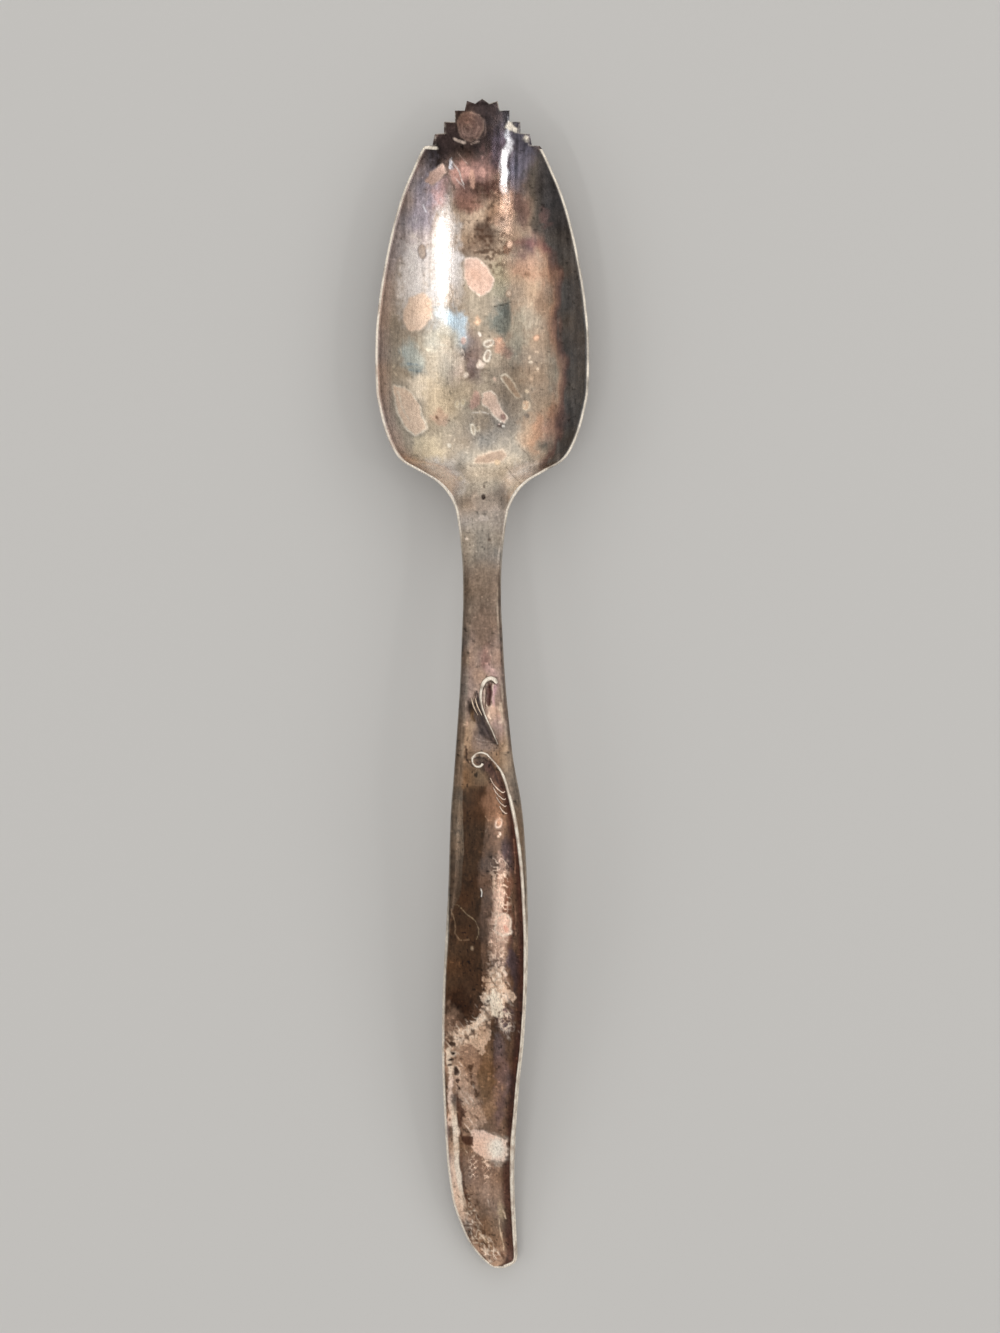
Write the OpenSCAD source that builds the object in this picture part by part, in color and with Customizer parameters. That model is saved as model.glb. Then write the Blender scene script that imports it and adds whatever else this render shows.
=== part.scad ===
// Grapefruit spoon with a toothed tip, lying on a table with its bowl open upwards.
// The real spoon is one struck blank. Its named regions are modelled as solids that meet face to face.
// +Y runs from the end of the handle to the toothed tip and +Z is up. A place along the spoon is called s:
// the distance from the foremost tooth, measured back towards the end of the handle.

/* [Lengths along the spoon] */
// Bowl with its toothed tip, from the foremost tooth to the throat
bowl_l = 53.5; // [47:0.5:60]
// Neck, from the throat to the waist
neck_l = 9; // [7:0.5:12]
// Stem, from the waist to the collar, where the handle begins
stem_l = 22; // [18:0.5:27]
// Handle, from the collar to its rounded end
handle_l = 68.7; // [60:0.5:80]

/* [Bowl] */
// Width of the bowl over its rim
bowl_w = 27.8; // [24:0.2:32]
// Depth of the bowl below its rim
bowl_depth = 6.65; // [5:0.1:8]
// Thickness of the bowl's floor
floor_t = 1.2; // [0.9:0.05:1.6]
// Width of the flat top of the rim
rim_w = 0.45; // [0.35:0.05:0.8]
// Thickness of the rim at its very edge
rim_t = 0.45; // [0.35:0.05:0.7]
// How far the rim is higher at the tip than at the widest place
tip_rise = 0.5; // [0:0.1:1.5]

/* [Teeth] */
// Number of teeth, one of them in the middle
teeth = 9; // [5:2:11]
// Distance from one tooth to the next
tooth_pitch = 2; // [1.8:0.05:2.2]
// Depth of the deepest notches between the teeth
notch_depth = 1; // [0.6:0.05:1.05]

/* [Neck and stem] */
// Width at the throat, where the bowl ends
throat_w = 6.8; // [6:0.1:8]
// Width at the narrowest place
waist_w = 4.9; // [4.2:0.1:5.6]
// Width where the stem meets the handle
collar_w = 7.25; // [6.4:0.1:8]
// Thickness at the waist
waist_t = 2.9; // [2.4:0.1:3.4]
// Thickness where the stem meets the handle
collar_t = 2.4; // [2:0.1:3]
// Width of the bevels on both upper edges
bevel_w = 1.2; // [0.8:0.1:1.5]
// Depth of the bevels
bevel_d = 0.75; // [0.4:0.05:1]

/* [Handle] */
// Greatest width of the handle
handle_w = 10.85; // [9.5:0.1:12.5]
// Thickness of the handle's floor at the end
end_t = 1.8; // [1.5:0.1:2.4]
// Height of the top of the arch above the table
arch_h = 14.4; // [12:0.2:17]
// Sideways swing of the handle's middle line
swing = 0.74; // [0.4:0.05:1.1]
// Height of the wall on the right of the hollow
wall_h = 1; // [0.6:0.05:1.3]
// Width of that wall's slope
wall_w = 3.6; // [2.8:0.1:4.2]
// Height of the low wall on the left of the hollow and round its end
low_wall_h = 0.5; // [0.3:0.05:0.7]
// Width of the low wall's slope
low_wall_w = 2.2; // [1.6:0.1:2.8]

/* [Relief] */
// Width of the raised bead
bead_w = 0.55; // [0.4:0.05:0.7]
// Height of the raised bead
bead_h = 0.3; // [0.2:0.02:0.4]
// Radius of the curl that starts the bead
curl_r = 1.4; // [1.1:0.1:1.7]
// Length of the leaf scroll
leaf_l = 8.4; // [7:0.2:10]
// Width over which the leaf scroll curls
leaf_w = 2.2; // [1.8:0.1:2.6]
// Width of a vein or flute
vein_w = 0.3; // [0.2:0.02:0.36]
// Height of a vein or flute
vein_h = 0.16; // [0.1:0.01:0.2]

/* [Hidden] */

// Places where the regions meet
throat_s = bowl_l;
waist_s = throat_s + neck_l;
collar_s = waist_s + stem_l;
end_s = collar_s + handle_l;
// Place of the bowl's widest section, as a share of its length
widest_share = 0.635;
widest_s = widest_share * throat_s;

// The spoon rests on its bowl and on the end of its handle, and both are worn flat by this much
wear_d = 0.15;
rim_h = bowl_depth + floor_t - wear_d;

// Powers of the curves of the cross section. 2 is a parabola, and more gives a flatter middle
belly_power = 2.2;
wall_power = 2.2;
low_wall_power = 1.6;
left_round_power = 2.5;
right_round_power = 1.5;
// Power that blends the walls of the hollow where they meet
join_power = 4;

// Half width of the bowl, from the tip to its widest section
front_shares = [[0, 0], [0.009, 0.15], [0.046, 0.258], [0.085, 0.351], [0.133, 0.44], [0.193, 0.562],
                [0.27, 0.651], [0.346, 0.731], [0.461, 0.82], [0.614, 0.904], [0.767, 0.965],
                [0.921, 0.998]];
// Width from the widest section to the throat, from 0 at the throat's to 1 at the widest
back_shares = [[0, 1], [0.195, 0.989], [0.33, 0.944], [0.463, 0.878], [0.597, 0.771], [0.665, 0.673],
               [0.732, 0.462], [0.8, 0.251], [0.866, 0.128], [0.934, 0.049]];
// Width from the throat to the waist, from 0 at the waist's to 1 at the throat's
neck_width_shares = [[0, 1], [0.3, 0.54], [0.7, 0.14]];
// Width from the waist to the collar, from 0 at the waist's to 1 at the collar's
stem_width_shares = [[0, 0.01], [0.12, 0], [0.36, 0.17], [0.6, 0.38], [0.83, 0.715]];
// Width of the handle after the collar, as a share of its greatest
handle_width_shares = [[0.02, 0.694], [0.055, 0.752], [0.093, 0.818], [0.13, 0.859], [0.204, 0.908],
                       [0.28, 0.945], [0.357, 0.983], [0.45, 1], [0.549, 0.979], [0.627, 0.924],
                       [0.706, 0.867], [0.787, 0.816], [0.827, 0.787], [0.868, 0.753], [0.908, 0.687],
                       [0.948, 0.591], [0.968, 0.512], [0.981, 0.438], [0.991, 0.341], [1, 0.11]];
// Middle line of the handle, right of the spoon's axis, as a share of the swing
middle_shares = [[0, 0.34], [0.09, 0.74], [0.167, 0.93], [0.24, 1], [0.34, 0.85], [0.46, 0.46],
                 [0.546, 0.15], [0.633, -0.2], [0.72, -0.32], [0.786, -0.27], [0.827, -0.07],
                 [0.868, 0.27], [0.908, 0.93], [0.948, 1.82], [0.968, 2.5], [0.981, 3], [0.991, 3.27],
                 [1, 3.1]];
// Rim from the tip to the widest section, from 0 at the widest to 1 at the tip
tip_rise_shares = [[0, 1], [0.2, 0.5]];
// Height from the widest section to the collar, from 0 at the rim's to 1 at the arch's
rise_shares = [[0, 0], [0.2, 0.03], [0.31, 0.12], [0.385, 0.23], [0.51, 0.44], [0.62, 0.63],
               [0.74, 0.8], [0.86, 0.93]];
// Height of the handle's floor, from 1 at the arch's to 0 at the end's
fall_shares = [[0, 1], [0.095, 0.985], [0.18, 0.925], [0.285, 0.835], [0.37, 0.745], [0.473, 0.635],
               [0.568, 0.515], [0.662, 0.39], [0.765, 0.255], [0.867, 0.12], [0.925, 0.05],
               [0.968, 0.01], [1, 0]];
// Depth of the dish from the widest section back into the neck, as a share of the bowl's depth
dish_shares = [[0, 1], [0.2, 0.955], [0.35, 0.87], [0.5, 0.75], [0.62, 0.61], [0.76, 0.42],
               [0.88, 0.25], [1, 0.12], [1.14, 0.03], [1.3, 0]];
// Thickness of the bowl's middle, from 0 at the rim's to 1 at the floor's
bowl_thick_shares = [[0, 0], [0.09, 0.5], [0.4, 1], [1.2, 1]];
// Thickness from the throat to the waist, from 0 at the floor's to 1 at the waist's
neck_thick_shares = [[0, 0.75], [0.7, 1]];
// Thickness from the waist to the collar, from 0 at the waist's to 1 at the collar's
stem_thick_shares = [[0.12, 0], [1, 1]];
// Thickness along the handle, from 0 at the collar's to 1 at the end's
handle_thick_shares = [[0.3, 0.65], [0.6, 1], [1, 1]];
// Depth of both bevels from the throat to the collar
bevel_shares = [[0, 0], [0.11, 0.25], [0.27, 0.8], [0.4, 1], [1, 1]];
// Right edge above the handle's floor, in wall heights
right_edge_shares = [[0.036, -0.75], [0.1, -0.7], [0.2, -0.05], [0.28, 0.4], [0.37, 0.7], [0.66, 0.55],
                     [0.95, 0.3], [1, 0.25]];
// Left edge above the handle's floor, in bevel depths
left_edge_shares = [[0.153, -0.8], [0.284, -0.6], [0.37, -0.4], [0.473, -0.13], [0.56, 0.06],
                    [0.662, 0.33], [1, 0.27]];
// Walls on the right, on the left and round the end of the hollow, as shares of their heights
wall_shares = [[0, 0], [0.036, 0.12], [0.08, 0.4], [0.153, 0.75], [0.27, 0.95], [0.444, 1],
               [0.66, 0.8], [0.837, 0.6], [1, 0.45]];
low_wall_shares = [[0, 0], [0.37, 0], [0.473, 0.2], [0.56, 0.5], [0.633, 0.8], [0.735, 1], [1, 0.95]];
// Distances of the right and the left crease from their edges, in bevel widths
right_crease_shares = [[0, 1.35], [0.036, 1.6], [0.058, 1.4], [0.093, 1.13], [0.13, 0.9], [0.204, 0.6],
                       [0.28, 0.45], [0.357, 0.36], [0.473, 0.32], [1, 0.32]];
left_crease_shares = [[0, 1], [0.09, 1.1], [0.17, 1.14], [0.25, 1], [0.31, 0.58], [0.4, 0.38],
                      [0.517, 0.32], [1, 0.32]];
// Underside of the stem's edges below the top, as a share of the thickness at the waist
stem_under_shares = [[0, 0.43], [0.67, 0.43]];
// Underside of the handle's edges below its floor, as a share of the thickness at the collar
left_under_shares = [[0, 0.5], [0.153, 0.42], [0.371, 0.35], [0.59, 0.3], [0.867, 0.36], [0.925, 0.46],
                     [1, 0.56]];
right_under_shares = [[0, 0.5], [0.11, 0.375], [0.226, 0.19], [0.371, 0.08], [0.59, 0.12],
                      [0.81, 0.25], [0.925, 0.46], [1, 0.56]];
// Where the edges begin to thicken towards the throat, and how thick they are there
thicken_share = 0.85;
throat_edge_share = 0.67;

// Slope of a table between point i and the next
function slope_after(table, i) = (table[i + 1][1] - table[i][1]) / (table[i + 1][0] - table[i][0]);

// Slope at point i: the harmonic mean of the slopes on its two sides, so that the curve never overshoots
function slope_at(table, i) =
    i == 0 ? slope_after(table, 0)
    : i == len(table) - 1 ? slope_after(table, i - 1)
    : let (a = slope_after(table, i - 1), b = slope_after(table, i)) a * b <= 0 ? 0 : 2 * a * b / (a + b);

function interval(table, at, i = 0) =
    i >= len(table) - 2 || at < table[i + 1][0] ? i : interval(table, at, i + 1);

// Smooth curve through the points [place, value] of a table, level beyond its two ends
function curve(table, place) =
    let (at = min(max(place, table[0][0]), table[len(table) - 1][0]),
         i = interval(table, at),
         span = table[i + 1][0] - table[i][0],
         u = (at - table[i][0]) / span)
    (1 + 2 * u) * (1 - u) ^ 2 * table[i][1] + u ^ 2 * (3 - 2 * u) * table[i + 1][1]
        + span * u * (1 - u) * ((1 - u) * slope_at(table, i) - u * slope_at(table, i + 1));

function mixed(a, b, share) = a + (b - a) * share;

// A table of shares, placed along a length and scaled between the values at share 0 and share 1
function placed(shares, start, length, at_0, at_1) =
    [for (p = shares) [start + p[0] * length, mixed(at_0, at_1, p[1])]];

// Widths are joined as squares, in which a round end is a straight line
function squared(table) = [for (p = table) [p[0], p[1] ^ 2]];

widths = squared(concat(placed(front_shares, 0, widest_s, 0, bowl_w),
                        placed(back_shares, widest_s, throat_s - widest_s, throat_w, bowl_w),
                        placed(neck_width_shares, throat_s, neck_l, waist_w, throat_w),
                        placed(stem_width_shares, waist_s, stem_l, waist_w, collar_w),
                        [[collar_s, collar_w]],
                        placed(handle_width_shares, collar_s, handle_l, 0, handle_w)));
middles = concat([[throat_s, 0], [waist_s, 0]], placed(middle_shares, collar_s, handle_l, 0, swing));

// Plan outline
function half_width(s) = sqrt(max(0, curve(widths, s))) / 2;
function middle(s) = curve(middles, s);
function left_edge(s) = middle(s) - half_width(s);
function right_edge(s) = middle(s) + half_width(s);

// Half width inside the rim: the outline, drawn in by the rim's width all round the tip
function inner_half(s) =
    let (inner_share = (bowl_w / 2 - rim_w) / (bowl_w / 2))
    s < widest_s ? half_width(max(0, s - rim_w) * widest_s / (widest_s - rim_w)) * inner_share
    : half_width(s) - rim_w;

// Distance from each edge to the crease where the bevel, the rim or the wall begins
bowl_creases = [[widest_s, rim_w], [throat_s, rim_w], [waist_s, bevel_w]];
left_creases = concat(bowl_creases, placed(left_crease_shares, collar_s, handle_l, 0, bevel_w));
right_creases = concat(bowl_creases, placed(right_crease_shares, collar_s, handle_l, 0, bevel_w));
function left_inset(s) = s < widest_s ? half_width(s) - inner_half(s) : curve(left_creases, s);
function right_inset(s) = s < widest_s ? half_width(s) - inner_half(s) : curve(right_creases, s);

// Height of the rim, then of the flat of the stem, then of the handle's floor
heights = concat(placed(tip_rise_shares, 0, widest_s, rim_h, rim_h + tip_rise),
                 placed(rise_shares, widest_s, collar_s - widest_s, rim_h, arch_h),
                 placed(fall_shares, collar_s, handle_l, end_t, arch_h));
function level(s) = curve(heights, s);

// Depth of the dish. In front it goes with the square of the width, so that the tip is a smooth scoop
dishes = placed(dish_shares, widest_s, throat_s - widest_s, 0, bowl_depth);
function dish(s) =
    s < widest_s ? bowl_depth * (inner_half(s) / inner_half(widest_s)) ^ 2 : curve(dishes, s);

// Thickness in the middle
thicknesses = concat(placed(bowl_thick_shares, 0, widest_s, rim_t, floor_t),
                     placed(neck_thick_shares, throat_s, neck_l, floor_t, waist_t),
                     placed(stem_thick_shares, waist_s, stem_l, waist_t, collar_t),
                     placed(handle_thick_shares, collar_s, handle_l, collar_t, end_t + wear_d));
function thickness(s) = curve(thicknesses, s);

// Each edge: how far its top stands above the level, and how far its underside lies below it
bevels = placed(bevel_shares, throat_s, collar_s - throat_s, 0, -bevel_d);
left_edges = concat(bevels, placed(left_edge_shares, collar_s, handle_l, 0, bevel_d));
right_edges = concat(bevels, placed(right_edge_shares, collar_s, handle_l, 0, wall_h));
front_under = concat([[throat_s * thicken_share, rim_t], [throat_s, floor_t * throat_edge_share]],
                     placed(stem_under_shares, waist_s, stem_l, 0, waist_t));
left_under = concat(front_under, placed(left_under_shares, collar_s, handle_l, 0, collar_t));
right_under = concat(front_under, placed(right_under_shares, collar_s, handle_l, 0, collar_t));

walls = placed(wall_shares, collar_s, handle_l, 0, wall_h);
low_walls = placed(low_wall_shares, collar_s, handle_l, 0, low_wall_h);

// Wall of the hollow: full height at its crease, and down to the floor over its slope's width
function slope_of(height, distance, width, power) =
    height * max(0, 1 - max(0, distance) / width) ^ power;

// Height of the top between the two creases: the level, less the dish, plus the walls of the hollow
function between(s, x) =
    let (v = min(1, abs(x - middle(s)) / max(inner_half(s), rim_t)),
         left = slope_of(curve(low_walls, s), x - left_edge(s) - left_inset(s), low_wall_w, low_wall_power),
         right = slope_of(curve(walls, s), right_edge(s) - right_inset(s) - x, wall_w, wall_power),
         round_end = slope_of(curve(low_walls, s), end_s - left_inset(s) - s, low_wall_w, low_wall_power))
    level(s) - dish(s) * (1 - v ^ belly_power)
        + (left ^ join_power + right ^ join_power + round_end ^ join_power) ^ (1 / join_power);

// Height of the top: outside a crease it falls or rises in a curve to the edge
function top(s, x) =
    let (from_l = max(0, x - left_edge(s)) / left_inset(s),
         from_r = max(0, right_edge(s) - x) / right_inset(s))
    s >= widest_s && from_l < 1
        ? mixed(between(s, left_edge(s) + left_inset(s)), level(s) + curve(left_edges, s),
                (1 - from_l) ^ left_round_power)
    : s >= widest_s && from_r < 1
        ? mixed(between(s, right_edge(s) - right_inset(s)), level(s) + curve(right_edges, s),
                (1 - from_r) ^ right_round_power)
    : between(s, x);

// Height of the underside: a belly hung between the two edges, worn flat where it meets the table
function underside(s, x) =
    let (v = min(1, max(-1, (x - middle(s)) / half_width(s))),
         l = curve(left_under, s),
         r = curve(right_under, s),
         belly = thickness(s) + dish(s) - (l + r) / 2)
    max(0, level(s) - mixed(l, r, (v + 1) / 2) - belly * (1 - abs(v) ^ belly_power));

function point(s, x, z) = [x, end_s / 2 - s, z];

// One cross section: the top from left to right, then the underside from right to left.
// A crease takes at most this share of the half width, so that no strip of the section vanishes
crease_limit_share = 0.6;
edge_steps = 2;
inner_steps = 14;
function section(s) =
    let (l = left_edge(s),
         r = right_edge(s),
         a = min(left_inset(s), half_width(s) * crease_limit_share),
         b = min(right_inset(s), half_width(s) * crease_limit_share),
         xs = concat([for (i = [0:edge_steps - 1]) l + a * i / edge_steps],
                     [for (i = [0:inner_steps]) mixed(l + a, r - b, i / inner_steps)],
                     [for (i = [edge_steps - 1:-1:0]) r - b * i / edge_steps]))
    ring([for (x = xs) point(s, x, top(s, x))], [for (x = xs) point(s, x, underside(s, x))]);

// Closed ring of the points above and as many points below, both given from left to right
function ring(above, below) = concat(above, [for (i = [len(below) - 1:-1:0]) below[i]]);

// Solid skinned over rings that all have the same count. Its two ends are strips from above to below
module skin(rings) {
    count = len(rings[0]);
    last = len(rings) - 1;
    polyhedron(
        points = [for (ring = rings) each ring],
        faces = concat(
            [for (j = [0:count / 2 - 2])
                let (k = count - 1 - j)
                each [[j, k, j + 1], [j + 1, k, k - 1]]],
            [for (i = [0:last - 1], j = [0:count - 1])
                let (k = (j + 1) % count)
                each [[i * count + j, i * count + k, (i + 1) * count + j],
                      [i * count + k, (i + 1) * count + k, (i + 1) * count + j]]],
            [for (j = [0:count / 2 - 2])
                let (first = last * count, k = count - 1 - j)
                each [[first + j, first + j + 1, first + k], [first + j + 1, first + k - 1, first + k]]]));
}

module region(stations) {
    skin([for (s = stations) section(s)]);
}

// Places from one s to another, the second of them included
function run(from, to, steps) = [for (i = [1:steps]) mixed(from, to, i / steps)];
// The same, crowded towards the end
function crowded(from, to, steps) = [for (i = [1:steps]) mixed(to, from, (1 - i / steps) ^ 2)];

// Places of the teeth on the outline of the tip, each one pitch from the one before
half_teeth = (teeth - 1) / 2;
search_steps = 30;
function reach(from, low, high, steps) =
    let (s = (low + high) / 2)
    steps == 0 ? [s, half_width(s)]
    : norm([s, half_width(s)] - from) < tooth_pitch ? reach(from, s, high, steps - 1)
    : reach(from, low, s, steps - 1);
function tooth(k) =
    k == 0 ? [0, 0] : let (before = tooth(k - 1)) reach(before, before[0], widest_s, search_steps);
tooth_points = [for (k = [0:half_teeth + 1]) tooth(k)];
// The toothed tip ends a rim's width behind its last notch
tip_end_s = tooth_points[half_teeth + 1][0] + rim_w;

// Depth of the notches from the middle outwards, as a share of the deepest
notch_shares = [0.5, 0.78, 1];
// How far a notch's sides are drawn out past the outline, in notch depths
notch_reach = 1.6;
tip_steps = 14;

// Notch between two teeth, seen from above: a right-angled cut that points inwards
module notch(a, b, depth) {
    along = (b - a) / norm(b - a);
    deepest = (a + b) / 2 + depth * [along[1], -along[0]];
    outline = [deepest, mixed(deepest, a, notch_reach), mixed(deepest, b, notch_reach)];
    linear_extrude(rim_h + tip_rise + rim_t) polygon([for (p = outline) [p[1], end_s / 2 - p[0]]]);
}

module serrated_tip() {
    color([0.42, 0.36, 0.32])
    difference() {
        region([for (i = [1:tip_steps]) tip_end_s * (i / tip_steps) ^ 2]);
        for (k = [0:half_teeth], side = [0, 1]) {
            depth = notch_depth * notch_shares[min(k, len(notch_shares) - 1)];
            mirror([side, 0, 0]) notch(tooth_points[k], tooth_points[k + 1], depth);
        }
    }
}

// The outline turns quickly at the bowl's shoulders, so the sections lie closer there
shoulder_shares = [0.8, 0.95];
front_steps = 17;
shoulder_steps = 12;
throat_steps = 3;

module bowl() {
    color([0.6, 0.53, 0.46])
    region(concat([tip_end_s],
                  run(tip_end_s, throat_s * shoulder_shares[0], front_steps),
                  run(throat_s * shoulder_shares[0], throat_s * shoulder_shares[1], shoulder_steps),
                  run(throat_s * shoulder_shares[1], throat_s, throat_steps)));
}

neck_steps = 8;
stem_steps = 12;

module neck() {
    color([0.66, 0.6, 0.53])
    region(concat([throat_s], run(throat_s, waist_s, neck_steps)));
}

module stem() {
    color([0.58, 0.48, 0.42])
    region(concat([waist_s], run(waist_s, collar_s, stem_steps)));
}

// The handle's sections lie closer near the collar and near the end
grip_shares = [0.12, 0.8];
grip_start_s = collar_s + handle_l * grip_shares[0];
grip_end_s = collar_s + handle_l * grip_shares[1];
collar_steps = 8;
grip_steps = 24;
end_steps = 14;

module handle() {
    color([0.45, 0.36, 0.29])
    region(concat([collar_s],
                  run(collar_s, grip_start_s, collar_steps),
                  run(grip_start_s, grip_end_s, grip_steps),
                  crowded(grip_end_s, end_s, end_steps)));
}

// Relief. A ridge follows a path of [s, x] places over the top of the spoon. Its sides are low steps, and
// its underside is sunk a little and then cut back to the surface that it stands on
relief_sink = 0.2;
ridge_shares = [[-1, 0.35], [-0.6, 0.82], [0, 1], [0.6, 0.82], [1, 0.35]];

function direction(path, i) =
    let (d = path[min(i + 1, len(path) - 1)] - path[max(i - 1, 0)]) d / norm(d);

function ridge_ring(path, i, width, height) =
    let (d = direction(path, i),
         across = [-d[1], d[0]] * width / 2,
         places = [for (p = ridge_shares) path[i] + across * p[0]],
         tops = [for (q = places) top(q[0], q[1])],
         n = len(places) - 1)
    ring([for (j = [0:n]) point(places[j][0], places[j][1], tops[j] + height * ridge_shares[j][1])],
         [for (j = [0:n]) point(places[j][0], places[j][1], tops[j] - relief_sink)]);

// Ridge along a path, whose width and height both follow a table of shares from its start to its end
module ridge(path, width, height, swell_shares) {
    last = len(path) - 1;
    skin([for (i = [0:last])
        let (swell = curve(swell_shares, i / last)) ridge_ring(path, i, width * swell, height * swell)]);
}

// Smooth path through a few points, in the manner of a draughtsman's spline
function spline_point(p, i, u) =
    let (a = p[max(i - 1, 0)], b = p[i], c = p[i + 1], d = p[min(i + 2, len(p) - 1)])
    b + (c - a) * u / 2 + (a - 2.5 * b + 2 * c - d / 2) * u ^ 2 + (1.5 * (b - c) + (d - a) / 2) * u ^ 3;
function spline(p, steps) =
    concat([for (i = [0:len(p) - 2], j = [0:steps - 1]) spline_point(p, i, j / steps)], [p[len(p) - 1]]);

// Leaf scroll: a tendril on the stem that hooks over at its head and tapers back to the collar
leaf_gap_share = 0.11;
leaf_start_s = collar_s - leaf_l * (1 + leaf_gap_share);
leaf_x_share = 0.92;
leaf_shares = [[0.075, 0.96], [0.02, 0.8], [0, 0.54], [0.05, 0.24], [0.15, 0.06], [0.3, 0], [0.46, 0.12],
               [0.62, 0.36], [0.8, 0.68], [1, 1]];
leaf_spline_steps = 3;
leaf_path = spline([for (p = leaf_shares)
                        [leaf_start_s + p[0] * leaf_l, leaf_w * (p[1] - 1 + leaf_x_share)]],
                   leaf_spline_steps);
leaf_swell_shares = [[0, 0.8], [0.11, 1.2], [0.33, 1.15], [0.5, 0.75], [0.7, 0.5], [1, 0.35]];

module leaf_scroll() {
    color([0.8, 0.74, 0.68])
    difference() {
        ridge(leaf_path, bead_w, bead_h, leaf_swell_shares);
        stem();
    }
}

// Two fine veins run beside the leaf scroll, on the side away from its hook
vein_shares = [[0.3, -0.52], [0.42, -0.4], [0.56, -0.14]];
vein_count = 2;
vein_step_share = 0.22;
vein_swell_shares = [[0, 0.6], [0.5, 1], [1, 0.5]];
vein_spline_steps = 4;

module leaf_veins() {
    color([0.62, 0.55, 0.49])
    difference() {
        for (k = [0:vein_count - 1]) {
            path = spline([for (p = vein_shares)
                               [leaf_start_s + p[0] * leaf_l,
                                leaf_w * (p[1] - 1 + leaf_x_share + k * vein_step_share)]],
                          vein_spline_steps);
            ridge(path, vein_w, vein_h, vein_swell_shares);
        }
        stem();
    }
}

// Rim scroll: a spiral curl on the handle, from which a bead runs along the right crease and round the end
curl_centre_shares = [0.93, -0.25];
curl_centre = [collar_s, 0] + curl_r * curl_centre_shares;
curl_inner_share = 0.36;
curl_start_angle = 64;
curl_turn = 300;
curl_steps = 20;
function curl_point(u) =
    let (r = curl_r * curl_inner_share ^ (1 - u), angle = curl_start_angle - curl_turn * u)
    curl_centre + r * [cos(angle), sin(angle)];

// Point of the bead at share u of the way from the start of the handle's crease to the end of the handle
bead_start_share = 0.042;
bead_steps = 52;
bead_probe_share = 0.01;
function outline_point(u) =
    let (s = mixed(end_s, collar_s + handle_l * bead_start_share, (1 - u) ^ 2)) [s, right_edge(s)];
function bead_point(u) =
    let (p = outline_point(u),
         d = outline_point(min(1, u + bead_probe_share)) - outline_point(u - bead_probe_share),
         inward = [-abs(d[1]), -d[0]] / norm(d))
    p + inward * right_inset(p[0]);
bead_path = concat(spline(concat([for (i = [0:curl_steps]) curl_point(i / curl_steps)],
                                 [bead_point(0)]), 1),
                   [for (i = [1:bead_steps]) bead_point(i / bead_steps)]);
bead_swell_shares = [[0, 0.8], [0.1, 1], [0.5, 1.1], [0.97, 1.1], [1, 0.6]];

module rim_scroll() {
    color([0.86, 0.82, 0.77])
    difference() {
        ridge(bead_path, bead_w, bead_h, bead_swell_shares);
        handle();
    }
}

// Flutes: short hooked crescents, nested inside the bead behind the curl
flute_shares = [[0, 0], [0.38, 0.2], [0.71, 0.47], [0.98, 0.83], [0.9, 1]];
flute_count = 4;
flute_l = 1.35 * curl_r;
flute_start_shares = [2.39, 0.76];
flute_step_shares = [0.86, 0.29];
flute_shrink_share = 0.17;
flute_spline_steps = 3;

module scroll_flutes() {
    color([0.55, 0.46, 0.38])
    difference() {
        for (k = [0:flute_count - 1]) {
            length = flute_l * (1 - flute_shrink_share * k);
            start = [collar_s, 0] + curl_r * (flute_start_shares + k * flute_step_shares);
            path = spline([for (p = flute_shares) start + length * p],
                          flute_spline_steps);
            ridge(path, vein_w, vein_h, vein_swell_shares);
        }
        handle();
    }
}

serrated_tip();
bowl();
neck();
stem();
handle();
leaf_scroll();
leaf_veins();
rim_scroll();
scroll_flutes();
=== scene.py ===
"""Grapefruit spoon in silver plate, tarnished and rubbed bright in places, lying with its bowl upwards.

A place on the spoon is given as s, the distance in millimetres from the foremost tooth, and x, the distance
in millimetres to the right of the spoon's axis. +Y runs from the handle to the teeth and +Z is up. Sizes of
the spoon are in millimetres, and those of the camera, the table and the lamps are in metres.
"""

import math

import bpy
import numpy as np
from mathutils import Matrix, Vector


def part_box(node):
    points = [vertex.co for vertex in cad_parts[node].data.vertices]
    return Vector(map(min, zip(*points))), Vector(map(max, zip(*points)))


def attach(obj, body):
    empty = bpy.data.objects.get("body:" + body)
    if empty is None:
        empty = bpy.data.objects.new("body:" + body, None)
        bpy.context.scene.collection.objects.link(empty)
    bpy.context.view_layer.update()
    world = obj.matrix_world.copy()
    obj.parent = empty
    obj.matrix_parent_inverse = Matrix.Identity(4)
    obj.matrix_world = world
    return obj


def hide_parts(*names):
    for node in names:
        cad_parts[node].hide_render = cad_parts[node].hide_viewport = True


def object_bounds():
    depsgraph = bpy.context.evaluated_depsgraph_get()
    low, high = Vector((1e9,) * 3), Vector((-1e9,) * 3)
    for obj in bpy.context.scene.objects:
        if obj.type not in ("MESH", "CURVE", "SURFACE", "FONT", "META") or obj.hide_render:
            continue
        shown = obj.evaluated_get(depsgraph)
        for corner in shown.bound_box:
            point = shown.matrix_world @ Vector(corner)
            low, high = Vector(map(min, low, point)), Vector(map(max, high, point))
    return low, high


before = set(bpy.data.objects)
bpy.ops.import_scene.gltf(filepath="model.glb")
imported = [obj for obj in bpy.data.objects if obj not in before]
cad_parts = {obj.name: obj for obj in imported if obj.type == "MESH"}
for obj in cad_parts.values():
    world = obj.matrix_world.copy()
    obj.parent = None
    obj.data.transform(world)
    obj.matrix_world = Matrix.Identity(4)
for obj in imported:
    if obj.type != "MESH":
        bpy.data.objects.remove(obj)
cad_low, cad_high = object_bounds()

# Camera
# It looks straight down at the table, from as high as the photograph was taken. The lens is worked out from
# the focal length in pixels of the upright 1000 by 1333 image.
image_h = 1333
focal_px = 2473
sensor = 36.0
camera_place = (0.00231, 0.00293, 0.329)
nearest_seen = 0.01

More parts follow.
